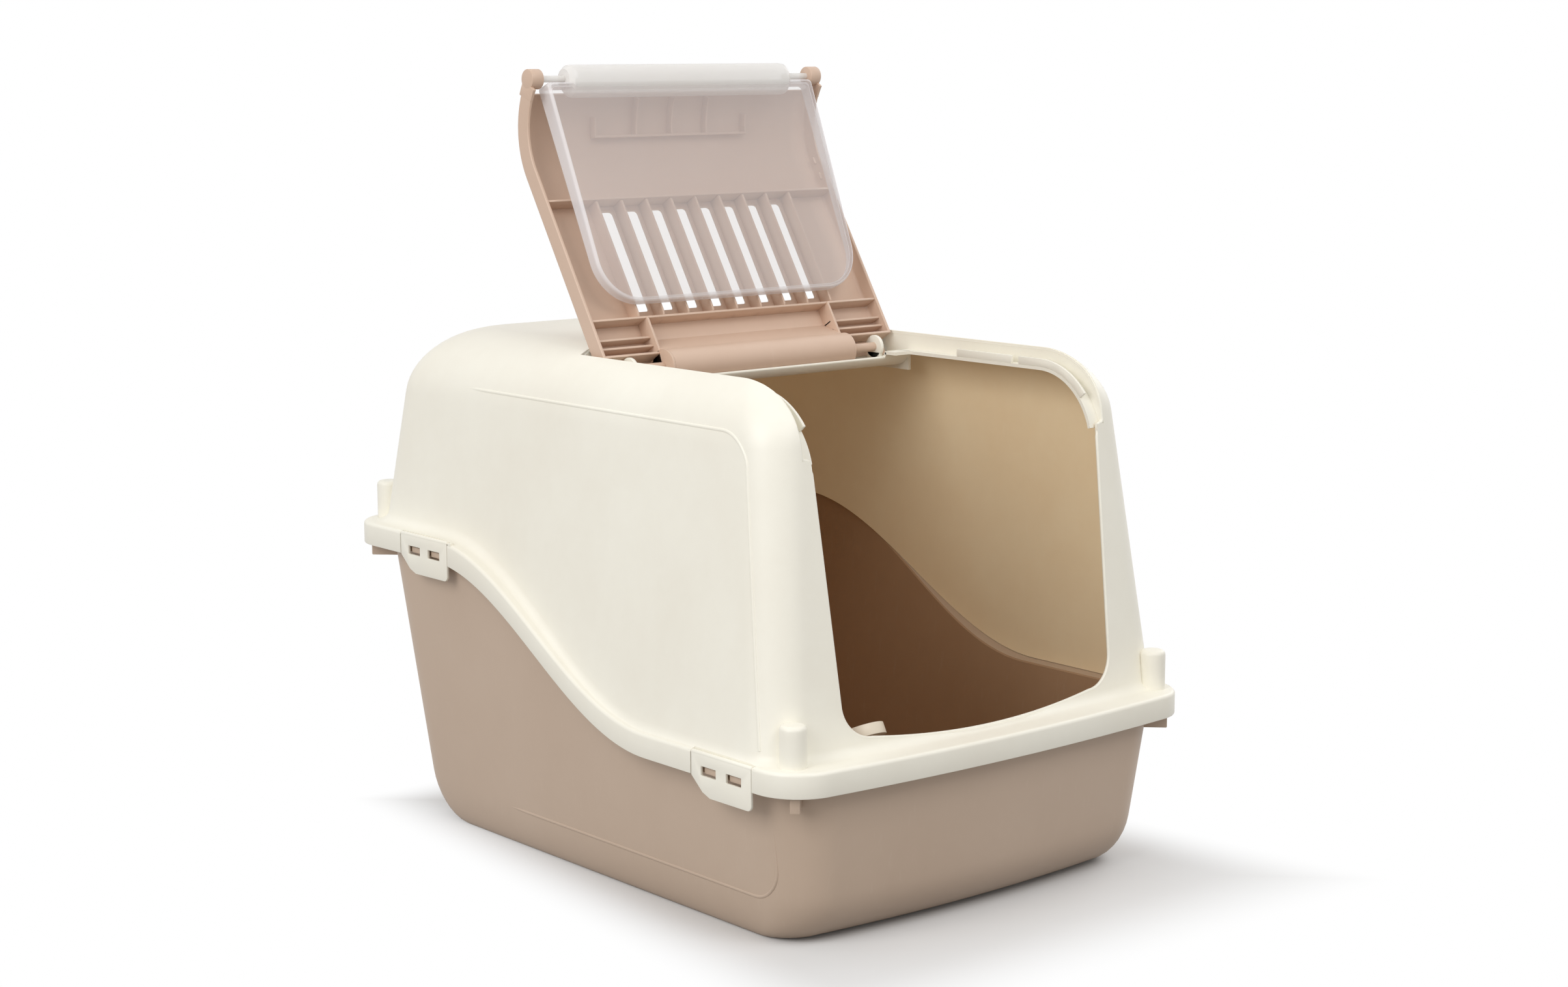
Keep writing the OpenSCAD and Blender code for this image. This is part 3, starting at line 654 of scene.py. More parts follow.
def carve(piece: bpy.types.Object, tools: Sequence[bpy.types.Object],
          kept: Cut = Cut.OUTSIDE) -> bpy.types.Object:
    """Cut a piece by some closed tools, which are then removed.

    Args:
        piece: The piece.
        tools: The tools.
        kept: What is kept of the piece.

    Returns:
        The piece.
    """
    for tool in tools:
        cut = piece.modifiers.new("carve", "BOOLEAN")
        cut.operation = kept.value
        cut.solver = "MANIFOLD"
        cut.object = tool
    settle(piece)
    for tool in tools:
        bpy.data.objects.remove(tool)
    return piece


def shell_of(piece: bpy.types.Object) -> Shell:
    """Take an object apart into a shell again, and remove it.

    Args:
        piece: The object, in metres.

    Returns:
        The shell, in millimetres.
    """
    mesh = piece.data
    made = Shell([vert.co / MM for vert in mesh.vertices],
                 [tuple(face.vertices) for face in mesh.polygons],
                 [0] * len(mesh.polygons))
    bpy.data.objects.remove(piece)
    return made


def finish(piece: bpy.types.Object, body: str, angle: float = 32.0) -> None:
    """Shade a finished piece and set it on its body.

    Args:
        piece: The piece.
        body: The body that it rides on.
        angle: Turn past which an edge stays crisp, in degrees.
    """
    piece.data.shade_smooth()
    piece.data.set_sharp_from_angle(angle=math.radians(angle))
    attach(piece, body)
    LOG.info("%s: %d faces on %s", piece.name, len(piece.data.polygons), body)


class GeometryTree:
    """A Geometry Nodes tree that is filled node by node and run on a piece."""

    def __init__(self, name: str, inputs: dict[str, str], output: str) -> None:
        """Make the tree with its sockets.

        Args:
            name: The tree's name.
            inputs: Kind of each input by its name, the piece first.
            output: Name of the output.
        """
        self.output = output
        self.tree = bpy.data.node_groups.new(name, "GeometryNodeTree")
        face = self.tree.interface
        for label, kind in inputs.items():
            face.new_socket(label, in_out="INPUT", socket_type=f"NodeSocket{kind}")
        face.new_socket(output, in_out="OUTPUT", socket_type="NodeSocketGeometry")

    def node(self, kind: str, feeds: dict[str, bpy.types.NodeSocket]) -> bpy.types.Node:
        """Make a node and join it.

        Args:
            kind: The node's type.
            feeds: The socket that feeds each input, by the input's name.

        Returns:
            The node.
        """
        made = self.tree.nodes.new(kind)
        for label, socket in feeds.items():
            self.tree.links.new(socket, made.inputs[label])
        return made

    def end(self, shape: bpy.types.NodeSocket, material: bpy.types.NodeSocket) -> None:
        """End the tree with real geometry in its material.

        Args:
            shape: The socket of the geometry.
            material: The socket of the material.
        """
        real = self.node("GeometryNodeRealizeInstances", {"Geometry": shape})
        dress = self.node("GeometryNodeSetMaterial",
                          {"Geometry": real.outputs["Geometry"], "Material": material})
        self.node("NodeGroupOutput", {self.output: dress.outputs["Geometry"]})

    def run(self, piece: bpy.types.Object, values: dict[str, Any]) -> bpy.types.Object:
        """Run the tree on a piece and settle the result.

        Args:
            piece: The piece.
            values: The tree's inputs by name; None leaves one as it is.

        Returns:
            The piece.
        """
        made = piece.modifiers.new("tree", "NODES")
        made.node_group = self.tree
        for item in self.tree.interface.items_tree:
            if item.in_out == "INPUT" and values.get(item.name) is not None:
                made[item.identifier] = values[item.name]
        settle(piece)
        return piece


class RowTree(GeometryTree):
    """Geometry Nodes that repeat a piece along a line."""

    def __init__(self) -> None:
        """Build the tree."""
        super().__init__("row_of_copies", {"Pattern": "Geometry", "Count": "Int",
                                           "Start": "Vector", "Pitch": "Vector",
                                           "Finish": "Material"}, "Row")
        given = self.node("NodeGroupInput", {}).outputs
        line = self.node("GeometryNodeMeshLine",
                         {"Count": given["Count"], "Start Location": given["Start"],
                          "Offset": given["Pitch"]})
        line.mode = "OFFSET"
        copies = self.node("GeometryNodeInstanceOnPoints",
                           {"Points": line.outputs["Mesh"], "Instance": given["Pattern"]})
        self.end(copies.outputs["Instances"], given["Finish"])

    def apply(self, piece: bpy.types.Object, count: int, start: Point, pitch: Point,
              material: Optional[bpy.types.Material]) -> bpy.types.Object:
        """Turn a piece into a row of its copies; start and pitch are in millimetres."""
        return self.run(piece, {"Count": count, "Start": Vector(start) * MM,
                                "Pitch": Vector(pitch) * MM, "Finish": material})


class BeadTree(GeometryTree):
    """Geometry Nodes that run a round bead along a path."""

    def __init__(self) -> None:
        """Build the tree."""
        super().__init__("bead_on_path", {"Path": "Geometry", "Radius": "Float",
                                          "Sides": "Int", "Finish": "Material"}, "Bead")
        given = self.node("NodeGroupInput", {}).outputs
        path = self.node("GeometryNodeMeshToCurve", {"Mesh": given["Path"]})
        profile = self.node("GeometryNodeCurvePrimitiveCircle",
                            {"Resolution": given["Sides"], "Radius": given["Radius"]})
        tube = self.node("GeometryNodeCurveToMesh",
                         {"Curve": path.outputs["Curve"],
                          "Profile Curve": profile.outputs["Curve"]})
        tube.inputs["Fill Caps"].default_value = True
        self.end(tube.outputs["Mesh"], given["Finish"])

    def apply(self, name: str, paths: Sequence[Sequence[Point]], radius: float, sides: int,
              material: bpy.types.Material) -> bpy.types.Object:
        """Make beads along open paths.

        Args:
            name: Name of the piece.
            paths: The paths, in millimetres.
            radius: Radius of the bead, in millimetres.
            sides: Number of its sides.
            material: Its material.

        Returns:
            The piece.
        """
        points: list[Vector] = []
        edges: list[tuple[int, int]] = []
        for path in paths:
            base = len(points)
            points.extend(Vector(point) * MM for point in path)
            edges.extend((base + i, base + i + 1) for i in range(len(path) - 1))
        mesh = bpy.data.meshes.new(name)
        mesh.from_pydata(points, edges, [])
        piece = self.run(linked(name, mesh), {"Radius": radius * MM, "Sides": sides,
                                              "Finish": material})
        face_outwards(piece.data)
        return piece


# ---- Plan of the box ----


def joint_place(name: str) -> Vector:
    """Place of a joint at rest, in millimetres."""
    found = next(joint for joint in frame["joints"] if joint["name"] == name)
    return Vector(found["pos_m"]) / MM


def right_latches() -> list[Vector]:
    """Places of the hinges of the two right latches, in millimetres."""
    return [joint_place(f"latch_{end}_right_hinge") for end in ("front", "rear")]


@dataclass(frozen=True)
class BoxPlan:
    """The outline that tray and hood share, in millimetres."""

    half: float
    front: float
    rear: float
    top: float
    rim_front: float
    rim_rear: float
    bow: float = 7.5
    rise_start: float = -111.0
    rise_end: float = 154.0
    side_reach: float = 150.0
    flange_corner: float = 36.0
    flange_t: float = 2.6
    skirt_h: float = 15.0
    skirt_t: float = 2.4
    seat_gap: float = 0.3
    lip_out: float = 4.4
    front_steps: int = 24
    corner_steps: int = 12
    side_steps: int = 64
    rear_steps: int = 10

    @classmethod
    def from_frame(cls) -> "BoxPlan":
        """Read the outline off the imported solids.

        Returns:
            The plan.
        """
        low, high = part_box("hood")
        _, tray_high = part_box("tray")
        return cls(half=high.x / MM, front=-low.y / MM - cls.bow, rear=high.y / MM,
                   top=high.z / MM, rim_front=low.z / MM + cls.skirt_h - cls.seat_gap,
                   rim_rear=tray_high.z / MM)

    @property
    def flange_up(self) -> float:
        """Height of the flange's top above the tray's rim."""
        return self.seat_gap + self.flange_t

    @property
    def lip_half(self) -> float:
        """Half width over the tray's lip."""
        return self.half - self.lip_out

    def rim(self, y: float) -> float:
        """Height of the tray's rim at a place along the box."""
        share = clamped((y - self.rise_start) / (self.rise_end - self.rise_start))
        return mix(self.rim_front, self.rim_rear, (1 - math.cos(math.pi * share)) / 2)

    def ring(self, height: Callable[[float], float], half: Callable[[float], float],
             front: Callable[[float], float], rear: Callable[[float], float],
             radius: float) -> Ring:
        """A closed ring round the box.

        Args:
            height: Height by place along the box.
            half: Half width by height.
            front: Reach to the front by height.
            rear: Reach to the rear by height.
            radius: Radius of its corners.

        Returns:
            The ring's points.
        """
        low, high = height(-self.rear), height(self.rear)
        half_f, half_r, y_f, y_r = half(low), half(high), -front(low), rear(high)
        r = radius
        ring: Ring = []
        for i in range(self.front_steps + 1):
            t = 2 * i / self.front_steps - 1
            ring.append((t * (half_f - r), y_f - self.bow * (1 - t * t), low))
        quarter = turned(QUARTER, self.corner_steps)
        for a in quarter[1:]:
            ring.append((half_f - r + r * math.sin(a), y_f + r - r * math.cos(a), low))
        sides = [mix(-self.side_reach, self.side_reach, t) for t in shares(self.side_steps)]
        for y in sides:
            ring.append((half(height(y)), y, height(y)))
        for a in quarter:
            ring.append((half_r - r + r * math.cos(a), y_r - r + r * math.sin(a), high))
        for i in range(1, self.rear_steps + 1):
            ring.append(((1 - 2 * i / self.rear_steps) * (half_r - r), y_r, high))
        for a in quarter[1:]:
            ring.append((-half_r + r - r * math.sin(a), y_r - r + r * math.cos(a), high))
        for y in reversed(sides):
            ring.append((-half(height(y)), y, height(y)))
        for a in quarter[:-1]:
            ring.append((-half_f + r - r * math.cos(a), y_f + r - r * math.sin(a), low))
        return ring


# ---- Tray ----


@dataclass
class Tray:
    """The tray with its rising rim, corner tabs and catches."""

    plan: BoxPlan
    wall: float = 2.5
    in_side: float = 29.0
    in_front: float = 25.0
    in_rear: float = 57.5
    side_lean: float = 0.09
    end_lean: float = 0.12
    corner: float = 36.0
    foot_corner: float = 22.0
    round_h: float = 38.0
    round_end: float = 36.0
    round_side: float = 9.0
    lip_h: float = 13.0
    lip_t: float = 2.2
    edge: float = 1.0
    tab_w: float = 7.0
    tab_h: float = 25.0
    catch_w: float = 14.0
    catch_h: float = 4.5
    catch_pitch: float = 27.0
    catch_drop: float = 11.5
    catch_sunk: float = 1.0
    catch_out: float = 1.7
    line_r: float = 1.5
    line_bend: float = 25.0
    line_start: float = -224.0
    line_back: float = 130.0
    line_top: float = 112.0
    line_low: float = 32.0
    line_level: float = 60.0
    line_fade: float = 60.0

    def side_x(self, z: float) -> float:
        """Half width of the tray's outside at a height."""
        reach = self.plan.half - self.in_side + self.side_lean * z
        return reach - self.foot_in(z, self.round_side)

    def foot_in(self, z: float, width: float) -> float:
        """Inset of the rounding above the bottom.

        Args:
            z: Height.
            width: Width of the rounding.

        Returns:
            The inset.
        """
        if z >= self.round_h:
            return 0.0
        return width * (1 - math.sqrt(1 - (1 - z / self.round_h) ** 2))

    def wall_ring(self, height: Callable[[float], float], inset: float, radius: float,
                  foot: Optional[float] = None) -> Ring:
        """A ring on the tray's wall.

        Args:
            height: Height by place along the box.
            inset: Inset from the outside.
            radius: Radius of its corners.
            foot: Height whose rounding is used, where it isn't the ring's own.

        Returns:
            The ring's points.
        """
        plan = self.plan

        def end(reach: float, lean: float, width: float) -> Callable[[float], float]:
            """Reach of the wall by height.

            Args:
                reach: Reach at the bottom without its rounding.
                lean: Growth by height.
                width: Width of the bottom's rounding.

            Returns:
                The function.
            """
            def at(z: float) -> float:
                """Reach at one height."""
                level = z if foot is None else foot
                return reach + lean * level - self.foot_in(level, width) - inset
            return at
        return plan.ring(height, end(plan.half - self.in_side, self.side_lean, self.round_side),
                         end(plan.front - self.in_front, self.end_lean, self.round_end),
                         end(plan.rear - self.in_rear, self.end_lean, self.round_end), radius)

    def lip_ring(self, drop: float, inset: float) -> Ring:
        """A ring on the lip that hangs from the rim.

        Args:
            drop: Depth below the rim.
            inset: Inset from the lip's outside.

        Returns:
            The ring's points.
        """
        plan = self.plan
        return plan.ring(lambda y: plan.rim(y) - drop, lambda z: plan.lip_half - inset,
                         lambda z: plan.front - plan.lip_out - inset,
                         lambda z: plan.rear - plan.lip_out - inset,
                         plan.flange_corner - plan.lip_out - inset * 0.5)

    def foot_ring(self, a: float, inside: bool) -> Ring:
        """A ring on the rounding above the bottom.

        Args:
            a: Angle on the rounding, from the bottom up.
            inside: Whether it is on the wall's inside.

        Returns:
            The ring's points.
        """
        z = self.round_h * (1 - math.cos(a))
        radius = self.foot_corner + (self.corner - self.foot_corner) * math.sin(a)
        if not inside:
            return self.wall_ring(lambda y: z, 0.0, radius)
        lifted = z + self.wall * (1 - z / self.round_h)
        return self.wall_ring(lambda y: lifted, self.wall, radius, foot=z)

    def shell(self) -> Shell:
        """Skin the tray from its floor over the rim and down to its foot.

        Returns:
            The shell, with the inside marked 1.
        """
        plan = self.plan
        rounding = [math.radians(a) for a in range(0, 91, 10)]
        levels = shares(8)
        rings = [self.foot_ring(a, True) for a in rounding]
        for share in levels[1:]:
            rings.append(self.wall_ring(
                lambda y, t=share: mix(self.round_h, plan.rim(y) - self.edge, t),
                self.wall, self.corner))
        marks = [1] * len(rings)
        rings.append(self.wall_ring(plan.rim, self.wall - self.edge, self.corner))
        for drop, inset in reversed(quarter_round(30)):
            rings.append(self.lip_ring(self.edge * drop, self.edge * inset))
        soft = 0.6
        for drop, inset in ((self.lip_h - soft, 0.0), (self.lip_h, soft),
                            (self.lip_h, self.lip_t), (self.lip_t, self.lip_t)):
            rings.append(self.lip_ring(drop, inset))
        for share in levels:
            rings.append(self.wall_ring(
                lambda y, t=share: mix(plan.rim(y) - self.lip_t, self.round_h, t),
                0.0, self.corner))
        rings += [self.foot_ring(a, False) for a in reversed(rounding[:-1])]
        return skin(rings, marks + [0] * (len(rings) - len(marks)))

    def tab(self, end: End) -> Shell:
        """A tab under a right corner of the rim.

        Args:
            end: The end whose corner it is.

        Returns:
            The shell.
        """
        plan = self.plan
        front = end is End.FRONT
        r = plan.flange_corner - plan.lip_out
        lip_end = (plan.front if front else plan.rear) - plan.lip_out
        wall_end = (plan.front - self.in_front) if front else (plan.rear - self.in_rear)
        centre_in = self.corner + self.wall / 2 - r
        top = (plan.rim_front if front else plan.rim_rear) - self.lip_t / 2

        def to_wall(z: float) -> float:
            """Distance along the diagonal to the middle of the wall.

            Args:
                z: Height.

            Returns:
                The distance.
            """
            x = plan.lip_half - (plan.half - self.in_side) - self.side_lean * z + centre_in
            y = lip_end - wall_end - self.end_lean * z + centre_in
            b = (x + y) / math.sqrt(2)
            return math.sqrt(b * b - x * x - y * y + self.corner ** 2) - b
        low = top - self.tab_h
        flat = [(to_wall(top), top), (to_wall(low), low),
                (r - self.lip_t / 2, low), (r - self.lip_t / 2, top)]
        plate = across(flat, -self.tab_w / 2, self.tab_w / 2, 0.8)
        # The outline runs outwards along y, and turns to the corner's diagonal
        turn = -135 if front else -45
        place = Matrix.Translation((plan.lip_half - r, end.value * (lip_end - r), 0))
        return plate.placed(place @ Matrix.Rotation(math.radians(turn), 4, "Z"))

    def catches(self) -> list[Shell]:
        """The catches behind the windows of the right latches.

        Returns:
            The shells.
        """
        made = []
        for place in right_latches():
            for side in (-0.5, 0.5):
                made.append(brick(self.plan.lip_half - self.catch_sunk,
                                  self.plan.lip_half + self.catch_out,
                                  place.y + side * self.catch_pitch,
                                  place.z - self.catch_drop,
                                  (self.catch_w, self.catch_h), 0.5))
        return made

    def side_lines(self) -> list[list[Point]]:
        """The raised lines of the side panels: down, round a bend and back.

        Returns:
            Their paths.
        """
        r, low, start, back = self.line_bend, self.line_low, self.line_start, self.line_back
        steps = [(start, z) for z in range(int(self.line_top), int(low + r), -6)]
        steps += [(start + r - r * math.cos(a), low + r - r * math.sin(a))
                  for a in turned(QUARTER, 10)]
        steps += [(mix(start + r, back, t), low) for t in shares(40)[1:]]
        front = self.plan.front - self.in_front + self.end_lean * self.line_level
        return raised_line(steps, self.side_x, lambda z: front, self.corner, self.line_r,
                           back, self.line_fade)

    def make(self, palette: Palette, bead: BeadTree) -> None:
        """Build and dress the tray's pieces.

        Args:
            palette: The finishes.
            bead: The tree for raised lines.
        """
        # The tray's inside faces, marked 1, take the taupe with painted shade.
        shell = build("tray_shell", [self.shell()], [palette.taupe, palette.tray_inside])
        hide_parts("tray")
        finish(shell, Body.TRAY.value)
        fittings = mirrored([self.tab(End.FRONT), self.tab(End.REAR), *self.catches()])
        tabs = build("tray_tabs_and_catches", fittings, [palette.taupe])
        finish(tabs, Body.TRAY.value)
        lines = bead.apply("tray_panel_lines", self.side_lines(), self.line_r, 14, palette.taupe)
        finish(lines, Body.TRAY.value, 60)


# ---- Hood ----


@dataclass
class LidPlan:
    """Lines of the closed lid that hood, lid and door share, in millimetres."""

    hinge_y: float
    hinge_z: float
    half: float = 140.0
    depth: float = 15.0
    skin_t: float = 2.0
    wall: float = 2.4
    bend: float = 70.0
    bend_front: float = 9.6
    barrel_r: float = 13.0
    barrel_half: float = 87.0
    bracket_x: float = 118.0
    bracket_t: float = 3.0
    pin_r: float = 3.5
    swing: float = 122.0
    door_pin_s: float = 227.0
    door_pin_drop: float = 30.0
    ear_r: float = 7.5
    barrel_gap: float = 0.3

    @classmethod
    def from_frame(cls) -> "LidPlan":
        """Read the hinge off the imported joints."""
        place = joint_place("lid_hinge")
        return cls(hinge_y=place.y, hinge_z=place.z)

    @property
    def top(self) -> float:
        """Height of the closed lid's skin."""
        return self.hinge_z + self.barrel_r

    @property
    def rim_z(self) -> float:
        """Height of the closed lid's rim."""
        return self.top - self.depth

    @property
    def room_r(self) -> float:
        """Radius of the room round the barrel."""
        return self.barrel_r + self.barrel_gap

    @property
    def lean(self) -> float:
        """How far the open lid leans back, in radians."""
        return math.radians(self.swing - 90)

    @property
    def pin_y(self) -> float:
        """Place of the closed lid's door pins."""
        return self.hinge_y - self.door_pin_s

    @property
    def pin_z(self) -> float:
        """Height of the closed lid's door pins."""
        return self.hinge_z - self.door_pin_drop

    @property
    def bend_y(self) -> float:
        """Centre of the front bend."""
        return self.pin_y - self.bend_front + self.bend

    @property
    def bend_z(self) -> float:
        """Height of the bend's centre."""
        return self.top - self.bend

    def band(self, high: float, low: float, start_y: float, end: float,
             start: float = 0.0, steps: int = 20) -> Flat:
        """A band that follows the closed lid.

        Args:
            high: Its upper face's depth below the skin.
            low: Its lower face's depth.
            start_y: Where it begins.
            end: Angle on the bend at which it ends.
            start: Angle on the bend at which the bend begins.
            steps: Chords on the bend.

        Returns:
            Its outline as (y, z).
        """
        upper = arc(self.bend_y, self.bend_z, self.bend - high, start, end, steps)
        lower = arc(self.bend_y, self.bend_z, self.bend - low, end, start, steps)
        return [(start_y, self.top - high), *upper, *lower, (start_y, self.top - low)]

    def opened(self) -> Matrix:
        """Turn from the closed lid to the open one.

        Returns:
            The transform.
        """
        place = Vector((0, self.hinge_y, self.hinge_z))
        turn = Matrix.Rotation(math.radians(-self.swing), 4, "X")
        return Matrix.Translation(place) @ turn @ Matrix.Translation(-place)


@dataclass
class Hood:
    """The hood with its flange, posts, entry, and the opening for the lid."""

    plan: BoxPlan
    lid: LidPlan
    wall: float = 2.4
    in_side: float = 5.0
    in_front: float = 23.8
    in_rear: float = 15.7
    side_lean: float = 0.09
    front_lean: float = 0.125
    rear_lean: float = 0.165
    corner: float = 30.0
    round_w: float = 48.0
    round_h: float = 50.0
    fillet_h: float = 7.0
    fillet_w: float = 8.0
    fillet_share: float = 0.48
    flange_edge: float = 2.8
    opening_half: float = 143.0
    ledge_half: float = 133.2
    ledge_gap: float = 0.5
    ledge_t: float = 2.5
    ledge_end: float = 75.0
    entry_half: float = 129.0
    entry_top: float = 136.0
    sill_up: float = 2.7
    sill_rise: float = 7.5
    entry_r: float = 24.0
    post_r: float = 9.5
    post_h: float = 29.0
    post_dome: float = 3.5
    post_out: float = 3.0
    post_sunk: float = 0.72
    post_turn: float = 65.0
    latch_room: float = 65.6
    latch_block: float = 4.0
    lip_back: float = 7.0
    lip_front: float = 122.0
    trough_t: float = 2.3
    upstand_t: float = 2.2
    upstand_h: float = 6.0
    upstand_start: float = 78.0
    upstand_end: float = 50.0
    notch_s: float = 140.9
    notch_w: float = 7.0
    bracket_r: float = 9.0
    line_r: float = 1.5
    line_bend: float = 25.0
    line_start: float = -193.0
    line_back: float = 165.0
    line_high: float = 348.0
    line_end: float = 12.0
    line_lean: float = 0.16
    line_fade: float = 50.0

    def half_at(self, z: float) -> float:
        """Half width of the wall's outside at a height."""
        return self.plan.half - self.in_side - self.side_lean * (z - self.plan.rim_front)

    def front_at(self, z: float) -> float:
        """Reach of the wall to the front at a height."""
        return self.plan.front - self.in_front - self.front_lean * (z - self.plan.rim_front)

    def rear_at(self, z: float) -> float:
        """Reach of the wall to the rear at a height."""
        return self.plan.rear - self.in_rear - self.rear_lean * (z - self.plan.rim_rear)

    def top_in(self, z: float, top: float) -> float:
        """Inset of the rounding below the top panel."""
        t = (z - top + self.round_h) / self.round_h
        return 0.0 if t <= 0 else self.round_w * (1 - math.sqrt(max(0.0, 1 - t * t)))

    def wall_ring(self, height: Callable[[float], float], inset: float, top: float,
                  spread: float = 0.0) -> Ring:
        """A ring on the wall.

        Args:
            height: Height by place along the box.
            inset: Inset from the outside.
            top: Height of the top panel that the rounding ends in.
            spread: How far the foot's fillet has spread, from 0 to 1.

        Returns:
            The ring's points.
        """
        def side(z: float) -> float:
            """Half width with the fillet.

            Args:
                z: Height.

            Returns:
                The half width.
            """
            room = self.fillet_share * (self.plan.half - self.half_at(z))
            grown = spread * min(self.fillet_w, room)
            return self.half_at(z) - self.top_in(z, top) - inset + grown

        def end(reach: Callable[[float], float]) -> Callable[[float], float]:
            """Reach of an end with the fillet."""
            grown = spread * self.fillet_w
            return lambda z: reach(z) - self.top_in(z, top) - inset + grown
        return self.plan.ring(height, side, end(self.front_at), end(self.rear_at),
                              self.corner + 2 * spread)

    def flange_ring(self, drop: float, inset: float) -> Ring:
        """A ring on the flange or skirt.

        Args:
            drop: Depth below the flange's top.
            inset: Inset from its outside.

        Returns:
            The ring's points.
        """
        plan = self.plan
        lift = plan.flange_up - drop
        return plan.ring(lambda y: plan.rim(y) + lift, lambda z: plan.half - inset,
                         lambda z: plan.front - inset, lambda z: plan.rear - inset,
                         plan.flange_corner - inset)

    def panel(self, inset: float, top: float, foot: float) -> list[Ring]:
        """Rings from the top panel down the wall.

        Args:
            inset: Inset from the outside.
            top: Height of the top panel.
            foot: Height of the last ring above the rim.

        Returns:
            The rings.
        """
        rings = []
        for drop, _ in reversed(quarter_round(6, 6)):
            rings.append(self.wall_ring(lambda y, v=top - self.round_h * drop: v, inset, top))
        for share in shares(8):
            rings.append(self.wall_ring(
                lambda y, t=share: mix(top - self.round_h, self.plan.rim(y) + foot, t),
                inset, top))
        return rings

    def shell(self) -> Shell:
        """Skin the hood from the top panel over the skirt and up inside.

        Returns:
            The shell, with the inside marked 1.
        """
        plan = self.plan
        foot = plan.flange_up
        rings = self.panel(0.0, plan.top, foot + self.fillet_h)
        for rise, spread in quarter_round(15, 15):
            lift = foot + self.fillet_h * rise
            rings.append(self.wall_ring(lambda y, v=lift: plan.rim(y) + v, 0.0, plan.top,
                                        spread))
        for drop, inset in reversed(quarter_round(15)):
            rings.append(self.flange_ring(self.flange_edge * drop, self.flange_edge * inset))
        deep = plan.flange_t + plan.skirt_h
        for drop, inset in ((deep - 0.8, 0.0), (deep - 0.25, 0.25), (deep, 0.8),
                            (deep, plan.skirt_t - 0.4), (deep - 0.4, plan.skirt_t),
                            (plan.flange_t, plan.skirt_t)):
            rings.append(self.flange_ring(drop, inset))
        marks = [0] * len(rings)
        rings.append(self.wall_ring(lambda y: plan.rim(y) + plan.seat_gap, self.wall, plan.top))
        inner = self.panel(self.wall, plan.top - self.wall, foot)
        rings += reversed(inner)
        marks += [1] * (len(inner) + 1)
        return skin(rings, marks)

    def body(self) -> Shell:
        """The space just inside the hood's outside."""
        inset = 0.6
        return skin(self.panel(inset, self.plan.top - inset, 6.0))

    @property
    def sill(self) -> float:
        """Height of the sill's middle."""
        return self.plan.rim_front + self.plan.flange_up + self.sill_up

    @property
    def entry_end(self) -> float:
        """Height at which the entry widens into the lid's opening."""
        return self.lid.pin_z - self.lid.ear_r - 1.2

    def entry_line(self) -> Flat:
        """Right half of the entry's edge, from the sill's middle up.

        Returns:
            Its points as (x, z).
        """
        flat = self.entry_half - self.entry_r
        centre = self.sill + self.sill_rise + self.entry_r
        line = [(flat * t, self.sill + self.sill_rise * t ** 2) for t in shares(14)]
        for a in range(-84, 1, 7):
            turn = math.radians(a)
            line.append((flat + self.entry_r * math.cos(turn),
                         centre + self.entry_r * math.sin(turn)))
        for t in shares(16)[1:]:
            line.append((mix(self.entry_half, self.entry_top, t), mix(centre, self.entry_end, t)))
        return line

    def entry_grown(self, by: float) -> Flat:
        """The entry's right edge moved away from the opening.

        Args:
            by: How far.

        Returns:
            The line.
        """
        line = self.entry_line()
        grown = []
        for i, (x, z) in enumerate(line):
            before = line[max(0, i - 1)]
            after = line[min(len(line) - 1, i + 1)]
            along = Vector((after[0] - before[0], after[1] - before[1])).normalized()
            if i == 0:
                along = Vector((1, 0))
            grown.append((x + along.y * by, z - along.x * by))
        return grown

    @property
    def ledge_z(self) -> float:
        """Height of the ledges' upper faces."""
        return self.lid.rim_z - self.ledge_gap

    @property
    def ledge_depth(self) -> float:
        """Depth of the ledges' upper faces below the closed lid's skin."""
        return self.lid.top - self.ledge_z

    def half_within(self, z: float, inset: float) -> float:
        """Half width of the surface that lies a depth inside the wall and top panel."""
        return self.half_at(z) - self.top_in(z, self.plan.top - inset) - inset

    def front_y(self, x: float, z: float, inset: float) -> float:
        """Place of the front wall at a point seen from the front.

        Args:
            x: Across the box.
            z: Height.
            inset: Depth inside the outside.

        Returns:
            Its place along the box.
        """
        reach = self.front_at(z) - self.top_in(z, self.plan.top - inset) - inset
        flat = self.half_within(z, inset) - self.corner
        if abs(x) <= flat:
            return -reach - self.plan.bow * (1 - (x / flat) ** 2)
        side = min(self.corner, abs(x) - flat)
        return -reach + self.corner - math.sqrt(self.corner ** 2 - side ** 2)

    def opening_path(self) -> list[Point]:
        """Middle of the wall along the whole opening, from the sill up and back.

        Returns:
            Its right half.
        """
        middle = self.wall / 2
        path = [(x, self.front_y(x, z, middle), z) for x, z in self.entry_grown(middle)]
        edge_x = self.opening_half + middle
        end_z = self.entry_end - middle
        path = [point for point in path if point[2] < end_z - 2]
        for x, lift in ((edge_x - 4.5, 0.0), (edge_x - 1.2, 0.5)):
            path.append((x, self.front_y(x, end_z + lift, middle), end_z + lift))
        crest = self.crest_z(edge_x, middle)
        for a in turned(QUARTER, 28)[1:]:
            z = mix(end_z, crest, math.sin(a))
            path.append((edge_x, self.front_y(edge_x, z, middle), z))
        last = path[-1][1]
        path += [(edge_x, mix(last, self.stop_y + 1, t), crest) for t in shares(24)[1:]]
        return path

    def crest_z(self, x: float, inset: float) -> float:
        """Height at which the surface inside the wall reaches a place across the box.

        Args:
            x: Across the box.
            inset: Depth inside the outside.

        Returns:
            The height.
        """
        low, high = self.plan.top - self.round_h - inset, self.plan.top - inset
        halvings = 40
        for _ in range(halvings):
            z = (low + high) / 2
            if self.half_within(z, inset) > x:
                low = z
            else:
                high = z
        return low

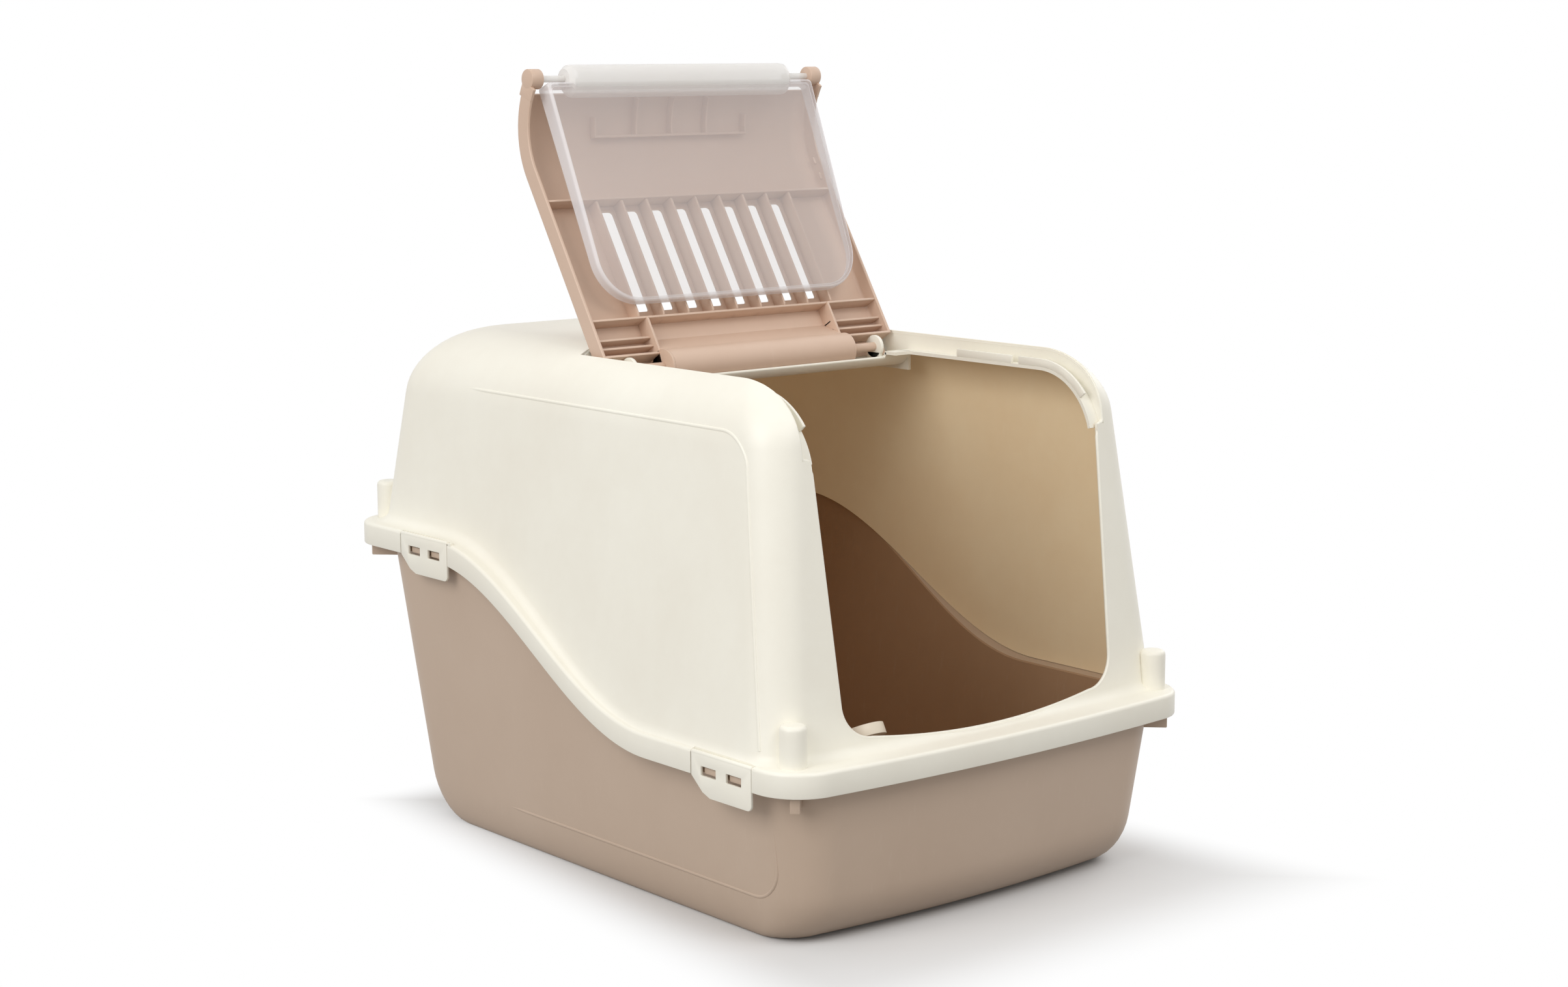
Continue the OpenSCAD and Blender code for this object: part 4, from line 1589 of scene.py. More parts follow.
    @property
    def stop_y(self) -> float:
        """Where the slope that stops the open lid meets the top panel.

        Returns:
            Its place along the box.
        """
        lid = self.lid
        rise = self.plan.top - lid.hinge_z + lid.room_r * math.sin(lid.lean)
        return lid.hinge_y + lid.room_r * math.cos(lid.lean) + rise * math.tan(lid.lean)

    def cutters(self) -> list[bpy.types.Object]:
        """The tools that open the entry, the lid's opening and the latches' notches.

        Returns:
            The tools.
        """
        plan, lid, middle = self.plan, self.lid, self.wall / 2
        before, behind = -plan.front - 40, -plan.front + 60
        right = self.entry_grown(middle)
        right = [*right, (self.entry_top + middle, self.entry_end + 8)]
        line = [*right, *[(-x, z) for x, z in reversed(right[1:])]]
        entry = skin([[(x, y, z) for x, z in line] for y in (behind, before)])
        low, deep, above = self.entry_end - middle, lid.hinge_z - 20, plan.top + 10
        flat = [(self.stop_y, above), (self.stop_y, deep), (lid.bend_y, deep),
                (lid.bend_y - 30, low), (before, low), (before, above)]
        edge = self.opening_half + middle
        tools = [build("entry_tool", [entry]), build("lid_tool", [across(flat, -edge, edge)])]
        for place in right_latches():
            notch = brick(plan.half - 4, plan.half + 16, place.y, place.z - 10,
                          (self.latch_room, 40))
            tools += [build("notch_tool", [one]) for one in mirrored([notch])]
        return tools

    def inner_frame(self) -> list[Shell]:
        """Trough, ledges and cheeks, kept inside the hood's skin.

        Returns:
            The shells.
        """
        lid, plan = self.lid, self.plan
        depth, edge = self.ledge_depth, self.opening_half
        side_lip = math.degrees(math.acos((lid.barrel_r - depth) / lid.room_r))
        under, over = self.ledge_z - self.ledge_t, plan.top + 5
        back, start = self.stop_y + 1, lid.hinge_y - lid.room_r
        cheek = [(back, over), (back, under - 14), (start, under - 14), (start, under),
                 *arc(lid.bend_y, lid.bend_z, lid.bend - depth - self.ledge_t, 0,
                      self.ledge_end, 20),
                 (-plan.rear, lid.bend_z + 14), (-plan.rear, over)]
        ledge = lid.band(depth, depth + self.ledge_t, start, self.ledge_end)
        kept = []
        parts = [across(self.trough(self.lip_front), -edge - 1, edge + 1),
                 across(self.trough(side_lip + self.lip_back), lid.bracket_x, edge + 1),
                 across(cheek, edge, edge + self.wall),
                 across(ledge, self.ledge_half, edge + 1)]
        for i, part in enumerate(parts):
            piece = carve(build("frame_part", [part]), [build("hood_space", [self.body()])],
                          Cut.INSIDE)
            kept.append(shell_of(piece))
            if i:
                kept.append(kept[-1].placed(MIRROR))
        return kept

    def trough(self, front: float) -> Flat:
        """Outline of the trough and the slope behind it.

        Args:
            front: Angle of its front lip.

        Returns:
            The outline, with a round front lip.
        """
        lid, thick, lean = self.lid, self.trough_t, self.lid.lean
        inner, outer = lid.room_r, lid.room_r + thick
        back = 360 - lid.swing
        lift = (self.plan.top - lid.hinge_z) / math.cos(lean) + outer * math.tan(lean) + 4
        slope = []
        for reach in (inner, outer):
            slope.append((lid.hinge_y + reach * math.cos(lean) + lift * math.sin(lean),
                          lid.hinge_z - reach * math.sin(lean) + lift * math.cos(lean)))
        turn = math.radians(front)
        middle = (inner + outer) / 2
        tip = (lid.hinge_y - middle * math.sin(turn), lid.hinge_z + middle * math.cos(turn))
        lip = arc(tip[0], tip[1], thick / 2, front, front - 180, 10)
        return [*arc(lid.hinge_y, lid.hinge_z, inner, front, back, 28), *slope,
                *arc(lid.hinge_y, lid.hinge_z, outer, back, front, 28), *lip[1:-1]]

    def upstands(self) -> list[Shell]:
        """The upstand on the right ledge, on both sides of its notch.

        Returns:
            The shells.
        """
        lid, depth, room = self.lid, self.ledge_depth, self.notch_w / 2
        low, high = self.ledge_z - 0.1, self.ledge_z + self.upstand_h
        notch, start = lid.hinge_y - self.notch_s, lid.hinge_y - self.upstand_start
        near = [(start, high), (notch + room, high), (notch + room, low), (start, low)]
        far = lid.band(depth - self.upstand_h, depth + 0.05, notch - room, self.upstand_end)
        return [across(flat, self.ledge_half, self.ledge_half + self.upstand_t, 0.5)
                for flat in (near, far)]

    def bracket(self) -> list[Shell]:
        """The right bracket that carries the lid's pin, and the block before it.

        Returns:
            The shells.
        """
        lid = self.lid
        y, z, x, half = lid.hinge_y, lid.hinge_z, lid.bracket_x, 7.0
        web = [(y - half, z - 14), (y + half, z - 14), (y + half, z - 4), (y - half, z - 4)]
        corner = y - lid.barrel_r - 12.3
        return [bar(x, x + lid.bracket_t, y, z, self.bracket_r, 0.6),
                across(web, x, x + lid.bracket_t, 0.3),
                block((x, corner, self.ledge_z - self.ledge_t),
                      (self.ledge_half + 1, corner + 12, self.ledge_z))]

    def latch_blocks(self) -> list[Shell]:
        """The blocks that carry the pins of the right latches.

        Returns:
            The shells.
        """
        made = []
        for place in right_latches():
            for side in (-1, 1):
                y = place.y + side * (self.latch_room + self.latch_block) / 2
                made.append(brick(self.plan.lip_half + 0.6, self.plan.half - 0.4, y,
                                  place.z - 1, (self.latch_block, 4.0), 0.5))
        return made

    def post(self, end: End) -> Shell:
        """A half-round post on a right corner, with a rounded top.

        Args:
            end: The end whose corner it is.

        Returns:
            The shell.
        """
        plan = self.plan
        front, sign = end is End.FRONT, end.value
        base = plan.rim_front if front else plan.rim_rear
        foot = base + plan.flange_up
        reach = self.front_at(base) if front else self.rear_at(base)
        end_lean = self.front_lean if front else self.rear_lean
        turn = math.radians(self.post_turn)
        lean = self.side_lean * math.cos(turn) + end_lean * math.sin(turn)
        centre = Vector((self.half_at(base) - self.corner, sign * (reach - self.corner), 0))
        out = Vector((math.cos(turn), sign * math.sin(turn), 0))
        beside = Vector((-out.y, out.x, 0))
        dome = self.post_dome
        levels = [(-1.0, 0.0), *[(t * (self.post_h - dome), 0.0) for t in shares(6)]]
        levels += [(self.post_h - dome * drop, dome * inset)
                   for drop, inset in quarter_round(15, 15)]
        rings = []
        for lift, inset in levels:
            flat = self.corner - self.wall * self.post_sunk - lean * lift
            ring = []
            for angle in circle(48):
                along = self.corner + self.post_out + (self.post_r - inset) * math.cos(angle)
                aside = (self.post_r - inset) * math.sin(angle)
                point = centre + out * max(flat, along) + beside * aside
                ring.append((point.x, point.y, foot + lift))
            rings.append(ring)
        return skin(rings)

    def side_lines(self) -> list[list[Point]]:
        """The raised lines of the side panels: forwards, round a bend and down.

        Returns:
            Their paths.
        """
        r, high, start, lean = self.line_bend, self.line_high, self.line_start, self.line_lean
        steps = [(mix(self.line_back, start + r, t), high) for t in shares(40)[:-1]]
        for a in turned(QUARTER, 10):
            reach = (r - lean * r * math.sin(a / 2)) * (1 - math.sin(a))
            steps.append((start + reach - lean * r * math.sin(a) ** 2,
                          high - r + r * math.cos(a)))
        low = self.plan.rim_front + self.line_end
        steps += [(start - lean * (high - z), z)
                  for z in (mix(high - r, low, t) for t in shares(24)[1:])]
        top = self.plan.top
        return raised_line(steps, lambda z: self.half_at(z) - self.top_in(z, top),
                           lambda z: self.front_at(z) - self.top_in(z, top), self.corner,
                           self.line_r, self.line_back, self.line_fade)

    def make(self, palette: Palette, bead: BeadTree) -> None:
        """Build and dress the hood's pieces.

        Args:
            palette: The finishes.
            bead: The tree for rolled edges and raised lines.
        """
        # The hood's inside faces, marked 1, take the cream with painted shade and painted glow.
        shell = build("hood_shell", [self.shell()], [palette.cream, palette.inside])
        carve(shell, self.cutters())
        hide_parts("hood")
        finish(shell, Body.HOOD.value)
        right = self.opening_path()
        whole = [*[(-x, y, z) for x, y, z in reversed(right[1:])], *right]
        edge = bead.apply("hood_opening_edge", [whole], self.wall / 2 + 0.1, 16, palette.cream)
        finish(edge, Body.HOOD.value, 60)
        posts = mirrored([self.post(End.FRONT), self.post(End.REAR)])
        finish(build("hood_posts", posts, [palette.cream]), Body.HOOD.value)
        inner = build("hood_trough_and_ledges", self.inner_frame(), [palette.cream])
        finish(inner, Body.HOOD.value)
        small = mirrored([*self.upstands(), *self.bracket(), *self.latch_blocks()])
        small = build("hood_brackets_and_blocks", small, [palette.cream])
        finish(small, Body.HOOD.value)
        lines = bead.apply("hood_panel_lines", self.side_lines(), self.line_r, 14, palette.cream)
        finish(lines, Body.HOOD.value, 60)


# ---- Lid ----


@dataclass
class Lid:
    """The slotted lid, built closed and swung open."""

    plan: LidPlan
    near_rib: float = 40.0
    far_rib: float = 140.0
    slots: int = 8
    pitch: float = 23.4
    slot_side: float = 2.3
    slot_r: float = 3.0
    slot_margin: float = 9.0
    slot_margin_far: float = 4.0
    rib: float = 1.8
    fin_in: float = 1.5
    rib_in: float = 1.0
    plate_end: float = 54.0
    wall_end: float = 64.0
    box_start: float = 10.0
    outer_round: float = 3.5
    inner_round: float = 2.5
    bore_wall: float = 2.2
    bend_rib_start: float = 26.0
    bend_rib_depth: float = 8.0
    side_bend_rib_x: float = 73.0
    side_bend_rib_end: float = 39.0
    mid_bend_rib_x: float = 34.0
    low_ribs: tuple[float, float] = (18.0, 25.0)
    low_rib_in: float = 4.0
    snaps: tuple[float, float] = (158.0, 172.0)
    web_t: float = 2.0
    door_half: float = 128.0

    def tub(self) -> Shell:
        """The lid's skin with its side walls, carried along the top and round the bend.

        Returns:
            The shell.
        """
        p = self.plan
        half, wall, r, inner_r = p.half, p.wall, self.outer_round, self.inner_round
        right = [(half - wall + 0.5, p.depth), (half - 0.5, p.depth), (half, p.depth - 0.6),
                 *[(half - r * inset, r * drop) for drop, inset in quarter_round(15)]]
        inner = [(half - wall, p.depth - 0.5),
                 *[(half - wall - inner_r * inset, p.skin_t + inner_r * drop)
                   for drop, inset in quarter_round(30)]]
        line = [*right, *[(-x, d) for x, d in reversed(right)],
                *[(-x, d) for x, d in inner], *reversed(inner)]
        end = p.hinge_y - p.bend_y
        rings = []
        for share in shares(30):
            s = mix(self.box_start, end, share)
            rings.append([(x, p.hinge_y - s, p.top - d) for x, d in line])
        for turn in turned(math.radians(self.plate_end), 20)[1:]:
            rings.append([(x, p.bend_y - (p.bend - d) * math.sin(turn),
                           p.bend_z + (p.bend - d) * math.cos(turn)) for x, d in line])
        return skin(rings)

    def slot_tool(self) -> Shell:
        """One slot's cutter, in the middle of the lid.

        Returns:
            The shell.
        """
        p = self.plan
        near = self.near_rib + self.rib + self.slot_margin
        far = self.far_rib - self.slot_margin_far
        r = self.slot_r
        half = (self.pitch - self.rib) / 2 - self.slot_side - r
        rear, front = p.hinge_y - near - r, p.hinge_y - far + r
        line = []
        for quarter, (x, y) in enumerate(((half, rear), (-half, rear), (-half, front),
                                          (half, front))):
            for turn in turned(QUARTER, 6):
                a = quarter * QUARTER + turn
                line.append((x + r * math.cos(a), y + r * math.sin(a)))
        return upright(line, p.top - 6, p.top + 4)

    def fin(self) -> Shell:
        """One fin between the slots, with rounded crest corners.

        Returns:
            The shell.
        """
        p = self.plan
        crest = p.rim_z + self.fin_in
        rear, front = p.hinge_y - self.near_rib, p.hinge_y - self.far_rib
        r = 5.0
        flat = [(rear, p.top - p.skin_t / 2)]
        flat += [(rear - r + r * math.cos(a), crest + r - r * math.sin(a))
                 for a in turned(QUARTER, 6)]
        flat += [(front + 1, crest), (front, crest + 1), (front, p.top - p.skin_t / 2)]
        return across(flat, -self.rib / 2, self.rib / 2, 0.5)

    def rib_across(self, s: float, low: float, high: float, crest: float) -> Shell:
        """A rib across the lid.

        Args:
            s: Its place in front of the hinge.
            low: Least x.
            high: Greatest x.
            crest: Height of its crest above the lid's rim.

        Returns:
            The shell.
        """
        p = self.plan
        return block((low, p.hinge_y - s - self.rib, p.rim_z + crest),
                     (high, p.hinge_y - s, p.top - p.skin_t / 2), 0.4)

    def bend_rib(self, x: float, start: float, end: float) -> Shell:
        """A rib along the bend.

        Args:
            x: Its place across the lid.
            start: First angle.
            end: Last angle.

        Returns:
            The shell.
        """
        p = self.plan
        flat = [*arc(p.bend_y, p.bend_z, p.bend - 1, start, end, 12),
                *arc(p.bend_y, p.bend_z, p.bend - self.bend_rib_depth, end, start, 12)]
        return across(flat, x - self.rib / 2, x + self.rib / 2, 0.4)

    def side(self) -> list[Shell]:
        """Fittings of the lid's right side.

        Returns:
            The shells.
        """
        p = self.plan
        inner = p.half - p.wall
        made = [self.rib_across(self.box_start, p.barrel_half, inner + 1, 0.0)]
        made += [self.rib_across(s, p.barrel_half, inner + 1, self.low_rib_in)
                 for s in self.low_ribs]
        web_end = p.hinge_y - self.near_rib - 1
        web = [(p.hinge_y, p.top - 1), (p.hinge_y, p.hinge_z), (p.hinge_y - 13, p.rim_z),
               (web_end, p.rim_z), (web_end, p.top - 1)]
        low, high = p.barrel_half, p.barrel_half + self.web_t
        made.append(across(web, low, high, 0.3))
        made.append(bar(low, high, p.hinge_y, p.hinge_z, p.barrel_r, 0.3))
        made.append(bar(p.barrel_half + 1, p.bracket_x + p.bracket_t + 0.5, p.hinge_y,
                        p.hinge_z, p.pin_r, 0.5))
        for s in self.snaps:
            made.append(block((inner - 1.6, p.hinge_y - s, p.rim_z + 5),
                              (inner + 1, p.hinge_y - s + 6, p.rim_z + 7), 0.5))
        made.append(bar(self.door_half + 1.5, p.half, p.pin_y, p.pin_z, p.ear_r, 0.8, 64))
        start, end = self.plate_end - 0.5, self.wall_end
        cheek = [*arc(p.bend_y, p.bend_z, p.bend, start, end, 6),
                 *arc(p.bend_y, p.bend_z, p.bend - p.depth, end, start, 6)]
        made.append(across(cheek, inner, p.half - 0.02, 0.3))
        return made

    def middle(self) -> list[Shell]:
        """Barrel, its tie plate, the cross ribs and the ribs of the bend.

        Returns:
            The shells.
        """
        p = self.plan
        y, z = p.hinge_y, p.hinge_z
        outer, bore = p.barrel_r, p.barrel_r - self.bore_wall
        rings = [[(x * p.barrel_half, y + radius * math.sin(a), z + radius * math.cos(a))
                  for a in circle(48)]
                 for radius, x in ((bore, -1), (outer, -1), (outer, 1), (bore, 1))]
        barrel = tube_shell(rings)
        tie = [(y - 11, z - 4), (y - 12.2, z - 4), (y - 28, p.top - p.skin_t / 2),
               (y - 25, p.top - p.skin_t / 2), (y - 10.4, z - 1)]
        inner = p.half - p.wall
        plate = [(y + 2, p.top), (y + 2, p.top - p.skin_t),
                 (y - self.box_start, p.top - p.skin_t), (y - self.box_start, p.top)]
        made = [barrel, across(tie, -p.barrel_half - 1, p.barrel_half + 1),
                across(plate, -p.half + 1, p.half - 1, 0.3),
                self.rib_across(self.near_rib, -inner - 1, inner + 1, self.rib_in),
                self.rib_across(self.far_rib, -inner - 1, inner + 1, self.rib_in)]
        start, side = self.bend_rib_start, self.side_bend_rib_x
        made += [self.bend_rib(x, start, self.plate_end - 2)
                 for x in (-self.mid_bend_rib_x, 0.0, self.mid_bend_rib_x)]
        made += [self.bend_rib(x, start, self.side_bend_rib_end) for x in (-side, side)]
        low, high = start - 1, start + 0.7
        tie_rib = [*arc(p.bend_y, p.bend_z, p.bend - 1, low, high, 2),
                   *arc(p.bend_y, p.bend_z, p.bend - self.bend_rib_depth, high, low, 2)]
        made.append(across(tie_rib, -side - self.rib / 2, side + self.rib / 2, 0.4))
        return made

    def make(self, palette: Palette, row: RowTree) -> None:
        """Build and dress the lid's pieces.

        Args:
            palette: The finishes.
            row: The tree that repeats slots and fins.
        """
        turn = self.plan.opened()
        first = (-(self.slots - 1) / 2 * self.pitch, 0, 0)
        step = (self.pitch, 0, 0)
        tool = row.apply(build("slot_tool", [self.slot_tool()]), self.slots, first, step, None)
        panel = carve(build("panel_closed", [self.tub()]), [tool])
        lid = build("lid_panel", [shell_of(panel).placed(turn)], [palette.lid])
        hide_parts("lid")
        finish(lid, Body.LID.value)
        start = (-self.slots / 2 * self.pitch, 0, 0)
        fins = row.apply(build("fin_row", [self.fin()]), self.slots + 1, start, step, None)
        fins = build("lid_fins", [shell_of(fins).placed(turn)], [palette.lid])
        finish(fins, Body.LID.value)
        shells = [*self.middle(), *mirrored(self.side())]
        ribs = build("lid_ribs_and_hinge", [one.placed(turn) for one in shells], [palette.lid])
        finish(ribs, Body.LID.value)


# ---- Swing door ----


@dataclass
class SwingDoor:
    """The milky door, built hanging and folded back against the open lid."""

    plan: LidPlan
    half: float = 128.0
    taper: float = 4.0
    length: float = 178.0
    thick: float = 1.8
    edge_top: float = 14.0
    edge_low: float = 8.0
    corner: float = 34.0
    top_corner: float = 3.0
    shoulder: float = 5.0
    set_out: float = 8.0
    outer_round: float = 2.6
    inner_round: float = 2.0
    head_r: float = 10.5
    head_half: float = 107.0
    head_drop: float = 1.4
    head_round: float = 6.0
    pin_r: float = 2.5
    pin_out: float = 7.5
    fin_in: float = 1.5
    rest_gap: float = 0.3

    @property
    def fold(self) -> float:
        """Angle at which the folded door rests on the lid's fins."""
        rest = self.plan.rim_z + self.fin_in - self.rest_gap - self.plan.pin_z
        return math.asin((rest - self.edge_low + self.set_out) / self.length)

    def outline(self, inset: float) -> Flat:
        """The door's outline, (x, z), with its pins at z = 0.

        Args:
            inset: Inset from its edge.

        Returns:
            The outline.
        """
        r, low = max(2.0, self.corner - inset), -self.length + inset
        half = self.half - self.taper * (self.length - self.corner) / self.length
        x = half - inset - r
        top_r = self.top_corner
        top, side = -self.shoulder - inset, self.half - inset
        right = [(side - top_r + top_r * math.sin(a), top - top_r + top_r * math.cos(a))
                 for a in turned(QUARTER, 4)]
        right += [(mix(side, x + r, t), mix(top - top_r, low + r, t)) for t in shares(8)[1:-1]]
        right += [(x + r * math.cos(a), low + r - r * math.sin(a))
                  for a in turned(QUARTER, 14)]
        return [*reversed(right), *[(-px, pz) for px, pz in right]]

    def plate(self) -> Shell:
        """The plate with its raised edge.

        Returns:
            The shell.
        """
        def depth(z: float) -> float:
            """Place of the raised edge's crest at a height."""
            share = clamped(-z / self.length)
            return -self.set_out + mix(self.edge_top, self.edge_low, share)
        face, r = -self.set_out, self.outer_round
        rings = []
        for rise, inset in reversed(quarter_round(15)):
            rings.append([(x, face + r * rise, z) for x, z in self.outline(r * inset)])
        for share in (0.4, 0.95):
            rings.append([(x, mix(face + r, depth(z), share), z)
                          for x, z in self.outline(0.0)])
        for drop, inset in ((0.0, 0.4), (0.0, self.thick - 0.4), (0.5, self.thick)):
            rings.append([(x, depth(z) - drop, z) for x, z in self.outline(inset)])
        inner = self.inner_round
        for rise, inset in quarter_round(30):
            rings.append([(x, face + self.thick + inner * rise, z)
                          for x, z in self.outline(self.thick + inner * inset)])
        return skin(rings, [0] + [1] * (len(rings) - 2) + [0])

    def head(self) -> list[Shell]:
        """The rolled head, with its ends and pins.

        Returns:
            The shells.
        """
        end = self.head_half
        rings = []
        for share in shares(64):
            x = mix(-end, end, share)
            round_in = min(1.0, (end - abs(x) + 0.5) / self.head_round)
            radius = self.head_r * math.sqrt(1 - (1 - round_in) ** 2 * 0.6)
            ring = []
            for a in circle(64):
                rise = max(math.sin(a), 0) + self.head_drop * min(math.sin(a), 0)
                ring.append((x, radius * math.cos(a), radius * rise))
            rings.append(ring)
        made = [skin(rings)]
        for side in (-1, 1):
            low, high = sorted((side * (end - 1), side * (self.half + self.pin_out)))
            made.append(bar(low, high, 0, 0, self.pin_r, 0.5))
        return made

    def make(self, palette: Palette) -> None:
        """Build and dress the door's pieces.

        Args:
            palette: The finishes.
        """
        p = self.plan
        turn = (p.opened() @ Matrix.Translation((0, p.pin_y, p.pin_z))
                @ Matrix.Rotation(QUARTER + self.fold, 4, "X"))
        plate = build("flap_plate", [self.plate().placed(turn)], [palette.clear, palette.edge])
        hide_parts("flap")
        finish(plate, Body.FLAP.value)
        head = build("flap_head", [one.placed(turn) for one in self.head()], [palette.head])
        finish(head, Body.FLAP.value)


# ---- Latches ----


@dataclass
class Latches:
    """The four side latches, each with two windows and a cut corner."""

    width: float = 64.0
    height: float = 31.0
    thick: float = 2.2
    roll_r: float = 1.8
    pin_r: float = 1.0
    pin_l: float = 2.9
    window_w: float = 16.0
    window_h: float = 6.5
    window_pitch: float = 27.0
    window_drop: float = 11.5

    def plate(self) -> Shell:
        """A right latch that hangs from its roll at the origin.

        Returns:
            The shell.
        """
        w, r = self.width / 2, 4.0
        low = self.roll_r - self.height
        flat = [(-w, 0.0)]
        flat += [(-w + r - r * math.cos(a), low + r - r * math.sin(a))
                 for a in turned(QUARTER, 6)]
        flat += [(w - 20, low), (w - 12, low + 3), (w, low + 13), (w, 0.0)]
        plate = build("latch_plate", [across(flat, self.roll_r - self.thick, self.roll_r)])
        tools = [build("window_tool", [brick(-10, 10, side * self.window_pitch,
                                             -self.window_drop,
                                             (self.window_w, self.window_h))])
                 for side in (-0.5, 0.5)]
        return softened(shell_of(carve(plate, tools)), 0.5, 25)

    def make(self, palette: Palette) -> None:
        """Build and dress the latches.

        Args:
            palette: The finishes.
        """
        plate = self.plate()
        turn = Matrix.Rotation(QUARTER, 4, "Z")
        half = self.width / 2
        roll = bar(-half, half, 0, 0, self.roll_r, 0.3, 32).placed(turn)
        pin = bar(-half - self.pin_l, half + self.pin_l, 0, 0, self.pin_r, 0.2, 24).placed(turn)
        for end in ("front", "rear"):
            for side in ("left", "right"):
                node = f"latch_{end}_{side}"
                place = joint_place(f"{node}_hinge")
                flip = MIRROR if side == "left" else Matrix.Identity(4)
                move = Matrix.Translation(place) @ flip
                shells = [one.placed(move) for one in (plate, roll, pin)]
                latch = build(f"{node}_plate", shells, [palette.cream])
                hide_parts(node)
                finish(latch, node)


# ---- Scoop ----


@dataclass
class Scoop:
    """The slotted scoop that rests in the tray with its handle behind the sill."""

    hood: Hood
    tray: Tray
    width: float = 104.0
    bowl: float = 112.0
    depth: float = 26.0
    wall: float = 2.4
    handle: float = 148.0
    grip: float = 40.0
    grip_t: float = 8.0
    hole_r: float = 5.0
    back: float = 1.0
    side_gap: float = 2.5
    slots: int = 7
    slot_share: float = 0.6
    slope_start: float = 0.45

    def flat(self, row: RowTree) -> list[Shell]:
        """The flat scoop: bowl to the rear, handle to the front.

        Args:
            row: The tree that repeats the slots.

        Returns:
            The shells.
        """
        half, inner = self.width / 2, self.width / 2 - self.wall
        body = build("bowl", [block((-half, 0, 0), (half, self.bowl, self.depth))])
        room = build("bowl_room", [block((-inner, self.wall, self.wall),
                                         (inner, self.bowl + 9, self.depth + 9))])
        slope = [(self.bowl * self.slope_start, self.depth + 1), (self.bowl + 1, self.wall + 3),
                 (self.bowl + 1, self.depth + 1)]
        fall = build("bowl_slope", [across(slope, -self.width, self.width)])
        pitch = 2 * inner / self.slots
        first = (((1 - self.slot_share) / 2 - self.slots / 2) * pitch, 0, 0)
        margin = self.bowl / 8
        tool = build("scoop_slot", [block((0, margin, -1),
                                          (pitch * self.slot_share, self.bowl - margin,
                                           self.wall + 1))])
        row.apply(tool, self.slots, first, (pitch, 0, 0), None)
        bowl = softened(shell_of(carve(body, [room, fall, tool])), 0.6)
        grip_y = self.grip / 2 - self.handle
        low, high = self.depth - self.grip_t, self.depth
        r, hole = self.grip / 2, self.hole_r
        outline = [(r, 1.0), *[(r * math.cos(a), grip_y - r * math.sin(a))
                               for a in turned(math.pi, 24)], (-r, 1.0)]
        ring = [(hole * math.cos(a), grip_y + hole * math.sin(a)) for a in circle(32)]
        blade = build("handle", [upright(outline, low, high)])
        drill = build("handle_hole", [upright(ring, low - 3, high + 3)])
        grip = softened(shell_of(carve(blade, [drill])), 1.4)
        return [bowl, grip]

    def place(self) -> Matrix:
        """Where the flat scoop leans in the tray.

        Returns:
            The transform.
        """
        hood, tray = self.hood, self.tray
        plan = hood.plan
        left = (plan.half - tray.in_side - tray.round_side - tray.wall - self.side_gap
                - self.width / 2)
        floor_z = tray.wall + 0.3
        sill_z = hood.sill + hood.sill_rise + 1
        flat = hood.half_at(plan.rim_front) - hood.corner
        bow = plan.bow * (1 - (left / flat) ** 2)
        sill_y = hood.wall - hood.front_at(sill_z) - bow
        along = self.handle + self.back
        grip_z = self.depth - self.grip_t
        span = math.hypot(self.bowl + along, grip_z)
        slope = math.asin((sill_z - floor_z) / span) - math.atan(grip_z / (self.bowl + along))
        shift = Matrix.Translation((-left, sill_y + along * math.cos(slope)
                                    - grip_z * math.sin(slope),
                                    floor_z + self.bowl * math.sin(slope)))
        return shift @ Matrix.Rotation(-slope, 4, "X")

    def make(self, palette: Palette, row: RowTree) -> None:
        """Build and dress the scoop.

        Args:
            palette: The finishes.
            row: The tree that repeats the slots.
        """
        move = self.place()
        scoop = build("scoop_moulded", [one.placed(move) for one in self.flat(row)],
                      [palette.scoop])
        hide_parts("scoop")
        finish(scoop, Body.SCOOP.value)


# ---- Studio ----


@dataclass
class Lamp:
    """A soft square lamp."""

    name: str
    place: tuple[float, float, float]
    aim: tuple[float, float, float]
    size: float
    power: float


